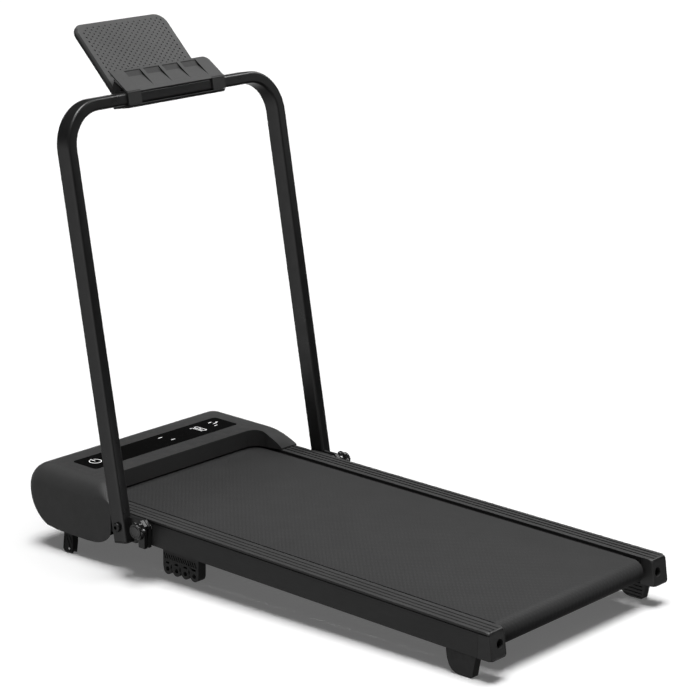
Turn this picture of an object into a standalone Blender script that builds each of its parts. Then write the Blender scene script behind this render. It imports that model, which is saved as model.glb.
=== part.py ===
"""Walking treadmill with a folding U handle and a device holder, in metres.

Lengths below are millimetres in the deck frame: x to the user's right, y towards the
hood, z up from the top of the side rails. One parent empty tilts that frame by the
deck's incline and stands it on the floor.
"""

import math

import bmesh
import bpy
from mathutils import Vector

MM = 0.001

# ---- overall
INCLINE = 2.0  # degrees, front of the deck up
SHIFT_Y = -627.3  # puts the middle of the object near the origin
REAR_FLOOR_Y = 45.0  # where the rear feet stand
REAR_FLOOR_Z = -99.5

# ---- side rails and end caps
RAIL_EDGE = 275.0
RAIL_SIDE = 273.5
RAIL_INNER = 228.5
RAIL_HEIGHT = 55.0
RAIL_REAR = 25.3
RAIL_FRONT = 1046.0
GROOVES = (241.0, 252.5, 264.0)
CAP_GROOVE_Y = 4.0
CAP_LEAN = 0.155
CAP_PLATE_Y = 3.4  # thickness of the visible end plate
# Along y, share of the rear lean, corner radius, inset.
CAP_STATIONS = (
    (25.0, 0.0, 0.6, 0.0),
    (9.0, 1.0, 0.6, 0.0),
    (6.5, 1.0, 2.6, 0.0),
    (4.0, 1.0, 5.0, 0.0),
    (1.8, 1.0, 6.3, 0.25),
    (0.6, 1.0, 6.5, 0.7),
    (0.0, 1.0, 6.4, 1.5),
    (0.0, 1.0, 6.2, 2.4),
    (0.8, 1.0, 5.9, 2.9),
)

# ---- rollers, belt and deck
ROLLER_R = 22.0
ROLLER_Z = -27.5
REAR_ROLLER_Y = 35.6
FRONT_ROLLER_Y = 1095.0
ROLLER_HALF = 215.0
BELT_HALF = 219.0
BOARD_HALF = 227.5
BELT_THICK = 1.8
AXLE_R = 7.5
ADJUSTER_X = 245.0

# ---- steel frame
TUBE_IN = 240.0
TUBE_OUT = 266.0
TUBE_TOP = -14.0
TUBE_BOTTOM = -53.0

# ---- hood
HOOD_HALF = 277.5
HOOD_INNER_HALF = 275.3
HOOD_TOP = 37.5
HOOD_WALL_Y = 1053.0
HOOD_FRONT = 1256.5
HOOD_BOTTOM = -91.0
HOOD_FILLET = 38.0
ARM_END = 985.0
DISPLAY = (-212.0, 212.0, 1101.0, 1174.0)

# ---- motor and pulleys
MOTOR_Y = 1174.0
MOTOR_Z = -26.0
PULLEY_X = (222.0, 236.0)
BIG_PULLEY_R = 32.0
SMALL_PULLEY_R = 12.5

# ---- handle
PIVOT_Y = 930.0
PIVOT_Z = -21.0
LEAN = 10.54  # degrees forward of the deck's normal
HANDLE_OUT = 311.0
TUBE_W = 25.0  # across the U
TUBE_D = 38.5  # fore and aft
LOUVRE_WIDTH = 44.0
LOUVRE_EDGES = (-58.0, -5.0, 48.0, 101.0)  # right-hand edges
TUBE_CORNER = 5.5
TUBE_WALL = 1.8
CROSSBAR_S = 844.7  # pivot to the crossbar's centre line
BEND_R = 82.5
TUBE_FOOT_S = -30.0
KNOB_Y = 875.0
KNOB_Z = -16.0
KNOB_LOBES = 6
BRACKET_X = (276.5, 283.5)
LUG_X = (286.5, 295.0)

# ---- device holder
HOLDER_HALF = 138.0
PLATE_HALF = 129.0
PLATE_THICK = 11.0

SIDES = (("left", -1), ("right", 1))


# ---------------------------------------------------------------- materials


def material(name, colour, roughness, metallic=0.0):
    made = bpy.data.materials.new(name)
    made.use_nodes = True
    shader = made.node_tree.nodes["Principled BSDF"]
    shader.inputs["Base Color"].default_value = (*colour, 1.0)
    shader.inputs["Roughness"].default_value = roughness
    shader.inputs["Metallic"].default_value = metallic
    made.diffuse_color = (*colour, 1.0)
    return made


def floor_z(y):
    """Height of the floor under a point of the deck frame."""
    return REAR_FLOOR_Z - math.tan(math.radians(INCLINE)) * (y - REAR_FLOOR_Y)


# ---------------------------------------------------------------- shape helpers


def add(name, bm, origin, look, parent):
    """One node from a bmesh whose points are deck-frame millimetres."""
    bmesh.ops.remove_doubles(bm, verts=bm.verts, dist=1e-4)
    bmesh.ops.recalc_face_normals(bm, faces=bm.faces)
    for vert in bm.verts:
        vert.co = (vert.co - Vector(origin)) * MM
    mesh = bpy.data.meshes.new(name)
    bm.to_mesh(mesh)
    bm.free()
    obj = bpy.data.objects.new(name, mesh)
    obj.location = Vector(origin) * MM
    obj.parent = parent
    if look:
        mesh.materials.append(look)
    bpy.context.scene.collection.objects.link(obj)
    return obj


def loft(rings, closed=False):
    """Skins a list of equal rings of points; the ends are capped unless it closes on itself."""
    bm = bmesh.new()
    made = [[bm.verts.new(point) for point in ring] for ring in rings]
    count = len(rings[0])
    pairs = list(zip(made, made[1:]))
    if closed:
        pairs.append((made[-1], made[0]))
    for one, two in pairs:
        for i in range(count):
            j = (i + 1) % count
            bm.faces.new((one[i], one[j], two[j], two[i]))
    if not closed:
        bm.faces.new(made[0])
        bm.faces.new(made[-1])
    return bm


def prism_x(profile, x0, x1):
    """A (y, z) outline pushed along x."""
    return loft([[(x, y, z) for y, z in profile] for x in (x0, x1)])


def prism_y(profile, y0, y1):
    """An (x, z) outline pushed along y."""
    return loft([[(x, y, z) for x, z in profile] for y in (y0, y1)])


def box(x0, x1, y0, y1, z0, z1):
    return prism_x([(y0, z0), (y1, z0), (y1, z1), (y0, z1)], x0, x1)


def lathe(profile, axis, centre, segments=24, start=0.0):
    """Turns a closed (along, radius) outline about a line parallel to x or y through centre."""
    rings = []
    for i in range(segments):
        turn = math.radians(start) + 2 * math.pi * i / segments
        ring = []
        for along, radius in profile:
            across = radius * math.cos(turn)
            up = radius * math.sin(turn)
            if axis == "x":
                ring.append((along, centre[0] + across, centre[1] + up))
            else:
                ring.append((centre[0] + across, along, centre[1] + up))
        rings.append(ring)
    return loft(rings, closed=True)


def rod(axis, a0, a1, radius, centre, segments=24, start=0.0):
    """A plain bar between two stations of an axis parallel to x or y."""
    ends = []
    for along in (a0, a1):
        ring = []
        for i in range(segments):
            turn = math.radians(start) + 2 * math.pi * i / segments
            across = radius * math.cos(turn)
            up = radius * math.sin(turn)
            if axis == "x":
                ring.append((along, centre[0] + across, centre[1] + up))
            else:
                ring.append((centre[0] + across, along, centre[1] + up))
        ends.append(ring)
    return loft(ends)


def stepped(axis, stations, centre, segments=24):
    """A solid of several radii in a row: stations are (along, radius) from one end to the other."""
    rings = []
    for along, radius in stations:
        ring = []
        for i in range(segments):
            turn = 2 * math.pi * i / segments
            across = radius * math.cos(turn)
            up = radius * math.sin(turn)
            if axis == "x":
                ring.append((along, centre[0] + across, centre[1] + up))
            else:
                ring.append((centre[0] + across, along, centre[1] + up))
        rings.append(ring)
    return loft(rings)


def arc(centre, radius, start, end, count):
    """Points of an arc, degrees, ends included."""
    points = []
    for i in range(count + 1):
        turn = math.radians(start + (end - start) * i / count)
        points.append((centre[0] + radius * math.cos(turn), centre[1] + radius * math.sin(turn)))
    return points


def rounded(width, height, radius, steps):
    """Rounded rectangle about the origin."""
    a = width / 2 - radius
    b = height / 2 - radius
    points = []
    for cx, cy, start in ((a, b, 0), (-a, b, 90), (-a, -b, 180), (a, -b, 270)):
        points += arc((cx, cy), radius, start, start + 90, steps)
    return points


def cutter(name, bm, parent):
    obj = add(name, bm, (0, 0, 0), None, parent)
    obj.hide_render = True
    obj.display_type = "WIRE"
    return obj


def combine(obj, tool, operation):
    modifier = obj.modifiers.new(tool.name, "BOOLEAN")
    modifier.operation = operation
    modifier.solver = "EXACT"
    modifier.object = tool
    return obj


def cut(obj, name, bm, parent):
    return combine(obj, cutter(name, bm, parent), "DIFFERENCE")


def join(obj, name, bm, parent):
    return combine(obj, cutter(name, bm, parent), "UNION")


def smooth(*objects):
    for obj in objects:
        obj.data.shade_smooth()
        obj.data.set_sharp_from_angle(angle=math.radians(35))


def merged(pieces):
    """Several closed shells in one mesh, for a cutter."""
    whole = bmesh.new()
    for piece in pieces:
        mesh = bpy.data.meshes.new("piece")
        piece.to_mesh(mesh)
        piece.free()
        whole.from_mesh(mesh)
        bpy.data.meshes.remove(mesh)
    return whole


# ---------------------------------------------------------------- scene

for old in list(bpy.data.objects):
    bpy.data.objects.remove(old, do_unlink=True)

BLACK_PAINT = material("black paint", (0.020, 0.020, 0.021), 0.42, 0.2)
CHARCOAL = material("charcoal plastic", (0.030, 0.030, 0.031), 0.55)
RAIL_GREY = material("dark rail", (0.045, 0.045, 0.047), 0.45)
BELT_BLACK = material("walking belt", (0.030, 0.030, 0.031), 0.80)
RUBBER = material("black rubber", (0.018, 0.018, 0.018), 0.85)
GLOSS = material("display glass", (0.004, 0.004, 0.005), 0.08)
BOARD = material("circuit board", (0.01, 0.10, 0.04), 0.5)
STEEL = material("bright steel", (0.55, 0.55, 0.56), 0.35, 1.0)
DARK_STEEL = material("blackened steel", (0.06, 0.06, 0.065), 0.4, 0.9)
WOOD = material("deck board", (0.012, 0.012, 0.012), 0.6)
HOLDER_GREY = material("grey plastic", (0.14, 0.14, 0.145), 0.55)
MOTOR_GREY = material("motor casing", (0.10, 0.10, 0.11), 0.45, 0.6)
ALUMINIUM = material("cast aluminium", (0.60, 0.60, 0.61), 0.4, 1.0)
KNOB_BLACK = material("glossy knob", (0.012, 0.012, 0.012), 0.25)

root = bpy.data.objects.new("deck_frame", None)
root.rotation_euler = (math.radians(INCLINE), 0.0, 0.0)
root.location = (
    0.0,
    SHIFT_Y * MM,
    (-REAR_FLOOR_Z * math.cos(math.radians(INCLINE)) - REAR_FLOOR_Y * math.sin(math.radians(INCLINE))) * MM,
)
bpy.context.scene.collection.objects.link(root)


# ---------------------------------------------------------------- frame


def build_frame():
    frame = add(
        "base_frame",
        box(TUBE_IN, TUBE_OUT, 64, 1192, TUBE_BOTTOM, TUBE_TOP),
        (0, 620, -30),
        BLACK_PAINT,
        root,
    )
    join(frame, "frame_left_tube", box(-TUBE_OUT, -TUBE_IN, 64, 1192, TUBE_BOTTOM, TUBE_TOP), root)
    wall = 1.6
    for name, side in SIDES:
        low, high = sorted((side * (TUBE_IN + wall), side * (TUBE_OUT - wall)))
        bore = box(low, high, 40, 1220, TUBE_BOTTOM + wall, TUBE_TOP - wall)
        cut(frame, f"frame_tube_bore_{name}", bore, root)
    for i, y in enumerate((150, 500, 850)):
        join(frame, f"frame_cross_{i}", box(-TUBE_IN - 1, TUBE_IN + 1, y - 12, y + 12, -45.5, -31), root)
    join(frame, "frame_motor_plate", box(-262, 262, 1124, 1208, -76, -71), root)
    for name, side in SIDES:
        inner, outer = sorted((side * 243, side * 262))
        join(frame, f"frame_web_{name}", box(inner, outer, 1128, 1188, -73, -50), root)
        inner, outer = sorted((side * 208, side * 262))
        join(frame, f"frame_foot_plate_{name}", box(inner, outer, 774, 886, -57.9, -52.4), root)
        inner, outer = sorted((side * 244, side * 267.5))
        join(frame, f"frame_bracket_pad_{name}", box(inner, outer, 888, 944, -55.1, -52.4), root)
        join(frame, f"frame_rear_pad_{name}", box(inner, outer, 31, 98, -55.0, -52.4), root)
    cut(frame, "frame_axle_hole", rod("x", -300, 300, AXLE_R + 0.3, (FRONT_ROLLER_Y, ROLLER_Z)), root)
    return frame


def rail_outline(side):
    """Cross-section of a side rail: ribbed top, lipped outer wall, short inner wall."""
    points = [
        (RAIL_SIDE - 3, -RAIL_HEIGHT),
        (RAIL_SIDE, -RAIL_HEIGHT),
        (RAIL_SIDE, -7.4),
        (RAIL_SIDE - 2, -6.8),
        (RAIL_SIDE - 2, -4.6),
        (RAIL_EDGE, -4.0),
        (RAIL_EDGE, -1.4),
        (RAIL_EDGE - 1.2, 0),
    ]
    for x in reversed(GROOVES):
        points += [(x + 1.9, 0), (x + 1.2, -1.7), (x - 1.2, -1.7), (x - 1.9, 0)]
    points += [
        (RAIL_INNER + 1.2, 0),
        (RAIL_INNER, -1.2),
        (RAIL_INNER, -19),
        (RAIL_INNER + 2.6, -19),
        (RAIL_INNER + 2.6, -4.2),
        (RAIL_SIDE - 5.5, -4.2),
        (RAIL_SIDE - 5.5, -9.5),
        (RAIL_SIDE - 3, -10.5),
    ]
    return [(side * x, z) for x, z in points]


def cap_rings(side):
    """End cap from its flat front to its leaning, rounded rear face with a shallow panel."""
    x0, x1 = RAIL_INNER + 0.5, RAIL_EDGE - 0.5
    rings = []
    for y, lean, corner, inset in CAP_STATIONS:
        section = rounded(x1 - x0 - 2 * inset, RAIL_HEIGHT - 2 * inset, corner, 4)
        ring = []
        for across, up in section:
            z = up - RAIL_HEIGHT / 2
            ring.append((side * (across + (x0 + x1) / 2), y + lean * z * CAP_LEAN, z))
        rings.append(ring)
    return rings


def cap_ledge(side):
    """What is taken off the outside of a cap so that the rail's groove and wall run on across it."""
    section = [(RAIL_SIDE, -7.4), (RAIL_SIDE - 2, -6.8), (RAIL_SIDE - 2, -4.6), (RAIL_EDGE + 1, -4.0),
               (RAIL_EDGE + 1, -60), (RAIL_SIDE, -60)]
    rings = []
    for y, lean in ((CAP_PLATE_Y, CAP_LEAN), (30.0, 0.0)):
        rings.append([(side * x, y + lean * z, z) for x, z in section])
    return loft(rings)


def build_rails():
    for name, side in SIDES:
        smooth(
            add(
                f"side_rail_{name}",
                prism_y(rail_outline(side), RAIL_REAR, RAIL_FRONT),
                (side * 252, 535, -27),
                RAIL_GREY,
                root,
            )
        )
        cap = add(f"end_cap_{name}", loft(cap_rings(side)), (side * 252, 8, -27), CHARCOAL, root)
        hole = (side * ADJUSTER_X, ROLLER_Z)
        cut(cap, f"cap_bore_{name}", rod("y", -30, 15, 9, hole), root)
        cut(cap, f"cap_shank_hole_{name}", rod("y", 0, 40, 4.7, hole, 16), root)
        ribs = []
        for x in GROOVES:
            rib = [(x - 1.9, 0.5), (x - 1.9, 0), (x - 1.2, -1.7), (x + 1.2, -1.7), (x + 1.9, 0),
                   (x + 1.9, 0.5)]
            ribs.append(prism_y([(side * u, v) for u, v in rib], CAP_GROOVE_Y, 30))
        cut(cap, f"cap_grooves_{name}", merged(ribs), root)
        cut(cap, f"cap_ledge_{name}", cap_ledge(side), root)
        smooth(cap)
        adjuster = add(
            f"belt_adjuster_{name}",
            stepped("y", [(5.5, 5.6), (6.4, 6.5), (14.7, 6.5), (14.7, 4), (61, 4), (62, 3.2)], hole, 16),
            (side * ADJUSTER_X, 15, ROLLER_Z),
            STEEL,
            root,
        )
        cut(adjuster, f"adjuster_socket_{name}", rod("y", 0, 9.5, 3.4, hole, 6), root)


# ---------------------------------------------------------------- rollers, belt, deck


def build_rollers():
    half = ROLLER_HALF
    rear = lathe(
        [(-half, 12), (-half, ROLLER_R), (half, ROLLER_R), (half, 12), (half - 7, 12), (half - 7, 7.57),
         (half - 16, 7.57), (half - 16, 17), (-half + 16, 17), (-half + 16, 7.57), (-half + 7, 7.57),
         (-half + 7, 12)],
        "x",
        (REAR_ROLLER_Y, ROLLER_Z),
        28,
    )
    rear = add("rear_roller", rear, (0, REAR_ROLLER_Y, ROLLER_Z), DARK_STEEL, root)
    x0, x1 = PULLEY_X
    middle = (x0 + x1) / 2
    big = BIG_PULLEY_R
    outline = [(-half, 12), (-half, ROLLER_R), (half, ROLLER_R), (half, 14), (x0, 14), (x0, big),
               (x0 + 1.5, big), (middle - 3.5, big - 2.5), (middle, big), (middle + 3.5, big - 2.5),
               (x1 - 1.5, big), (x1, big), (x1, 20), (x1 - 5, 18), (x1 - 5, 7.57), (half - 16, 7.57),
               (half - 16, 17), (-half + 16, 17), (-half + 16, 7.57), (-half + 7, 7.57), (-half + 7, 12)]
    front = lathe(outline, "x", (FRONT_ROLLER_Y, ROLLER_Z), 28)
    front = add("front_roller", front, (0, FRONT_ROLLER_Y, ROLLER_Z), DARK_STEEL, root)
    rear_axle = stepped(
        "x", [(-252, 6.5), (-251, AXLE_R), (251, AXLE_R), (252, 6.5)], (REAR_ROLLER_Y, ROLLER_Z), 20
    )
    rear_axle = add("rear_axle", rear_axle, (0, REAR_ROLLER_Y, ROLLER_Z), STEEL, root)
    for name, side in SIDES:
        cut(rear_axle, f"axle_hole_{name}", rod("y", 0, 60, 4.3, (side * ADJUSTER_X, ROLLER_Z), 16), root)
    front_axle = stepped(
        "x", [(-268, 6.5), (-267, AXLE_R), (267, AXLE_R), (268, 6.5)], (FRONT_ROLLER_Y, ROLLER_Z), 20
    )
    front_axle = add("front_axle", front_axle, (0, FRONT_ROLLER_Y, ROLLER_Z), STEEL, root)
    smooth(rear, front, rear_axle, front_axle)


def loop(y0, z0, r0, y1, z1, r1, thick, steps):
    """Side view of a belt over two pulleys, as an outer and an inner ring of points."""
    span = math.hypot(y1 - y0, z1 - z0)
    lie = math.degrees(math.atan2(z1 - z0, y1 - y0))
    open_by = math.degrees(math.asin((r0 - r1) / span))
    rings = []
    for extra in (thick, 0.0):
        ring = arc((y0, z0), r0 + extra, lie + 90 - open_by, lie + 270 + open_by, steps)
        ring += arc((y1, z1), r1 + extra, lie - 90 + open_by, lie + 90 - open_by, steps)
        rings.append(ring)
    return rings


def band(x0, x1, rings):
    """A closed belt between two x stations, from its outer and inner rings."""
    bm = bmesh.new()
    outer, inner = rings
    layers = []
    for ring in (outer, inner):
        layers.append([[bm.verts.new((x, y, z)) for y, z in ring] for x in (x0, x1)])
    count = len(outer)
    for i in range(count):
        j = (i + 1) % count
        out0, out1 = layers[0]
        in0, in1 = layers[1]
        bm.faces.new((out0[i], out0[j], out1[j], out1[i]))
        bm.faces.new((in0[i], in1[i], in1[j], in0[j]))
        bm.faces.new((out0[i], in0[i], in0[j], out0[j]))
        bm.faces.new((out1[i], out1[j], in1[j], in1[i]))
    return bm


def build_belts_and_deck():
    rings = loop(
        REAR_ROLLER_Y, ROLLER_Z, ROLLER_R + 0.2, FRONT_ROLLER_Y, ROLLER_Z, ROLLER_R + 0.2, BELT_THICK, 14
    )
    belt = add("walking_belt", band(-BELT_HALF, BELT_HALF, rings), (0, 564, ROLLER_Z), BELT_BLACK, root)
    rings = loop(
        FRONT_ROLLER_Y, ROLLER_Z, BIG_PULLEY_R + 0.6, MOTOR_Y, MOTOR_Z, SMALL_PULLEY_R + 0.6, 2.2, 16
    )
    x0, x1 = PULLEY_X
    drive = add("drive_belt", band(x0 + 1.5, x1 - 1.5, rings), (229, 1135, -28), RUBBER, root)
    smooth(belt, drive)
    top = ROLLER_Z + ROLLER_R + 0.2 - 0.3
    add("deck_board", box(-BOARD_HALF, BOARD_HALF, 66, 1056, top - 16, top), (0, 567, top - 8), WOOD, root)
    number = 1
    for y in (150, 500, 850):
        for x in (-190, 190):
            bm = bmesh.new()
            bmesh.ops.create_cone(
                bm, cap_ends=True, segments=16, radius1=12, radius2=12, depth=top - 16.3 + 30.7
            )
            bmesh.ops.translate(bm, verts=bm.verts, vec=(x, y, (top - 16.3 - 30.7) / 2))
            smooth(add(f"deck_cushion_{number}", bm, (x, y, -28), RUBBER, root))
            number += 1


# ---------------------------------------------------------------- drive and electronics


def build_drive():
    centre = (MOTOR_Y, MOTOR_Z)
    motor = add(
        "motor_body",
        stepped("x", [(4, 14), (4, 30), (12, 36), (150, 36), (158, 30), (158, 14)], centre, 28),
        (80, MOTOR_Y, MOTOR_Z),
        MOTOR_GREY,
        root,
    )
    join(motor, "motor_foot_a", box(24, 54, MOTOR_Y - 30, MOTOR_Y + 30, -70.7, MOTOR_Z - 20), root)
    join(motor, "motor_foot_b", box(108, 138, MOTOR_Y - 30, MOTOR_Y + 30, -70.7, MOTOR_Z - 20), root)
    cut(motor, "motor_shaft_hole", rod("x", 140, 200, 5.4, centre, 16), root)
    x0, x1 = PULLEY_X
    small = SMALL_PULLEY_R
    middle = (x0 + x1) / 2
    rotor = stepped(
        "x",
        [(142, 5), (166, 5), (166, 27), (176, 27), (176, 5), (x0, 5), (x0, small), (x0 + 1.5, small),
         (middle - 3.5, small - 2.5), (middle, small), (middle + 3.5, small - 2.5), (x1 - 1.5, small),
         (x1, small), (x1, 4)],
        centre,
        24,
    )
    rotor = add("motor_rotor", rotor, (200, MOTOR_Y, MOTOR_Z), ALUMINIUM, root)
    smooth(motor, rotor)
    controller = add(
        "controller", box(-190, -50, 1130, 1200, -70.6, -34), (-120, 1165, -52), ALUMINIUM, root
    )
    fins = [box(-200, -40, y, y + 4, -40, -20) for y in (1138, 1149, 1160, 1171, 1182)]
    cut(controller, "controller_fins", merged(fins), root)


def nose(grow):
    """Hood profile from the rear of the top round the nose to the bottom lip.

    Each entry is y, z, the outward direction and how far the side fillet draws it in.
    """
    radius = 54.0 - grow
    low = 74.0 - grow
    top = HOOD_TOP - grow
    centre = (HOOD_FRONT - 54.0, HOOD_TOP - 54.0)
    entries = [(HOOD_WALL_Y + grow, top, 90, 1.0), (1130, top, 90, 1.0)]
    for i in range(8):
        turn = 90 - 90 * i / 7
        y = centre[0] + radius * math.cos(math.radians(turn))
        z = centre[1] + radius * math.sin(math.radians(turn))
        entries.append((y, z, turn, 1.0))
    centre = (HOOD_FRONT - 74.0, HOOD_TOP - 54.0)
    for i in range(1, 8):
        turn = -90 * i / 7
        y = centre[0] + low * math.cos(math.radians(turn))
        z = centre[1] + low * math.sin(math.radians(turn))
        entries.append((y, z, turn, 1.0 - 0.92 * (i / 7) ** 1.5))
    return entries


def filleted(entries, rest, half, fillet, steps):
    """Lofts a profile across the width, drawing the weighted points in towards each side."""
    stations = [0.0]
    for i in range(1, steps + 1):
        stations.append(math.radians(90 * i / steps))
    rings = []
    columns = [(-half + fillet * (1 - math.sin(a)), fillet * (1 - math.cos(a))) for a in reversed(stations)]
    columns += [(half - fillet * (1 - math.sin(a)), fillet * (1 - math.cos(a))) for a in stations]
    for x, draw in columns:
        ring = []
        for y, z, turn, weight in entries:
            pull = draw * weight
            ring.append((
                x,
                y - pull * math.cos(math.radians(turn)),
                z - pull * math.sin(math.radians(turn)),
            ))
        ring += [(x, y, z) for y, z in rest]
        rings.append(ring)
    return loft(rings)


def build_hood():
    entries = nose(0.0)
    rest = [(1150, HOOD_BOTTOM), (1060, HOOD_BOTTOM), (1032, -88.6), (1012, -82.6), (998, -73),
            (989.6, -61), (987, -48), (987, -20)]
    arm_top = [(ARM_END, 3.0, 135, 0.03), (993, 11.5, 125, 0.16), (1003, 20.5, 120, 0.34),
               (1015, 28.6, 113, 0.55), (1029, 34.6, 104, 0.80), (1041, 37.0, 95, 0.95)]
    outline = arm_top + entries
    hood = add(
        "hood_cover",
        filleted(outline, rest, HOOD_HALF, HOOD_FILLET, 6),
        (0, 1150, -20),
        CHARCOAL,
        root,
    )
    # The room for the belt between the arms, with rounded inner corners.
    corner = 30.0
    plan = [(-229, 900), (229, 900), (229, 988)]
    plan += [(219, 1012)]
    plan += arc((218 - corner, HOOD_WALL_Y - corner), corner, 0, 90, 5)
    plan += arc((-218 + corner, HOOD_WALL_Y - corner), corner, 90, 180, 5)
    plan += [(-219, 1012), (-229, 988)]
    gap = loft([[(x, y, z) for x, y in plan] for z in (-200, 100)])
    cut(hood, "hood_belt_gap", gap, root)
    # The hollow: open below, closed above by the top, the rear wall and the arms.
    inner = [(HOOD_WALL_Y + 3, 0.4, 180, 0.0)] + nose(3.0)
    under = [(1150, HOOD_BOTTOM + 3), (1150, -140), (940, -140), (940, 0.4)]
    cut(hood, "hood_hollow", filleted(inner, under, HOOD_INNER_HALF, HOOD_FILLET - 3, 6), root)
    x0, x1, y0, y1 = DISPLAY
    well = [((x0 + x1) / 2 + x, (y0 + y1) / 2 + y) for x, y in rounded(x1 - x0 + 0.6, y1 - y0 + 0.6, 9, 3)]
    cut(hood, "hood_display_well", loft([[(x, y, z) for x, y in well] for z in (HOOD_TOP - 1.7, 60)]), root)
    cut(hood, "hood_power_opening", box(150, 214, 1226, 1300, -47, -3), root)
    smooth(hood)
    lens = [((x0 + x1) / 2 + x, (y0 + y1) / 2 + y) for x, y in rounded(x1 - x0, y1 - y0, 8.7, 3)]
    lens = loft([[(x, y, z) for x, y in lens] for z in (HOOD_TOP - 1.4, HOOD_TOP + 0.2)])
    add("display_lens", lens, (0, 1137, HOOD_TOP - 1), GLOSS, root)
    add("display_board", box(-60, 190, 1112, 1163, 28, 31), (60, 1137, 30), BOARD, root)


def build_belly():
    pan = add(
        "belly_pan", box(-274.8, 274.8, 1040, 1149.6, -88.5, -85.5), (0, 1075, -87), CHARCOAL, root
    )
    for name, side in SIDES:
        low, high = sorted((side * 254, side * 269))
        cut(pan, f"pan_slot_{name}", box(low, high, 1109, 1134, -100, -70), root)
    slots = [box(x, x + 4, 1030, 1090, -100, -70) for x in range(-60, 61, 20)]
    cut(pan, "pan_vents", merged(slots), root)


def build_power():
    panel = add(
        "power_panel", box(150.3, 213.7, 1231.5, 1253, -46.7, -3.3), (182, 1246, -25), CHARCOAL, root
    )
    cut(panel, "inlet_opening", box(155, 182.5, 1237.5, 1300, -36, -14), root)
    cut(panel, "switch_opening", box(189, 209, 1235.5, 1300, -38.4, -11.6), root)
    pins = [box(x, x + 2, 1233.5, 1249.5, -26.5, -22) for x in (161, 167.7, 174.5)]
    for i, pin in enumerate(pins):
        join(panel, f"inlet_pin_{i}", pin, root)
    outline = [(1251.5, -36.6), (1254.5, -30), (1253.7, -25), (1256.7, -14.5), (1254.0, -13.4),
               (1243.0, -19), (1242.0, -25), (1243.0, -31)]
    rocker = add("rocker_switch", prism_x(outline, 189.5, 208.5), (199, 1247.5, -25), GLOSS, root)
    rocker.data.shade_flat()


# ---------------------------------------------------------------- feet


def build_rear_feet():
    outline = [(29, -55.3), (99.5, -55.3), (99.4, -60), (96.7, -74.7), (91.6, -87), (84.3, -94.7),
               (75, -99.0), (66, floor_z(66)), (40, floor_z(40)), (36.5, -97)]
    for name, side in SIDES:
        low, high = sorted((side * 255, side * 273))
        foot = add(
            f"rear_foot_{name}", prism_x(outline, low, high), (side * 264, 62, -78), RUBBER, root
        )
        edge = side * 255
        ribs = []
        for z, front in ((-63, 96), (-70.5, 94.5), (-78, 91), (-85.5, 86), (-92.5, 79)):
            ribs.append(box(*sorted((edge - side * 5, edge + side * 2.2)), 38.5, front, z - 3.2, z))
        cut(foot, f"rear_foot_grooves_{name}", merged(ribs), root)
        smooth(foot)


def build_cushion_feet():
    y0, y1 = 779.0, 881.0
    pitch = (y1 - y0) / 4
    radius = 11.6
    outline = [(y0, -58.3)]
    centres = []
    for i in range(4):
        y = y0 + pitch * (i + 0.5)
        z = floor_z(y) + radius
        centres.append((y, z))
        outline += arc((y, z), radius, 180, 360, 8)
    outline[1] = (y0 + 0.6, centres[0][1])
    outline += [(y1, centres[3][1] + 6), (y1, -58.3)]
    for name, side in SIDES:
        low, high = sorted((side * 211, side * 232))
        foot = add(
            f"cushion_foot_{name}", prism_x(outline, low, high), (side * 221, 830, -92), RUBBER, root
        )
        holes = [rod("x", *sorted((side * 200, side * 240)), 5.0, (y, z + 0.4), 12) for y, z in centres]
        cut(foot, f"cushion_holes_{name}", merged(holes), root)
        low, high = sorted((side * 226, side * 240))
        pockets = []
        for i in range(14):
            y = y0 + 5.5 + i * 6.7
            slot = [(y, -94.5), (y + 3.3, -94.5), (y + 8.3, -83.5), (y + 5.0, -83.5)]
            if y + 8.3 < y1 - 1:
                pockets.append(prism_x(slot, low, high))
        for y, z in centres:
            pockets.append(box(low, high, y - 5, y + 5, z + 11.6, z + 15.6))
        for i in range(1, 4):
            y = y0 + pitch * i + 2.2
            z = floor_z(y) + 17.5
            lens = [(y, z - 6.2), (y + 1.9, z - 2.6), (y + 1.9, z + 2.6), (y, z + 6.2),
                    (y - 1.9, z + 2.6), (y - 1.9, z - 2.6)]
            pockets.append(prism_x(lens, low, high))
        cut(foot, f"cushion_pockets_{name}", merged(pockets), root)
        smooth(foot)


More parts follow.
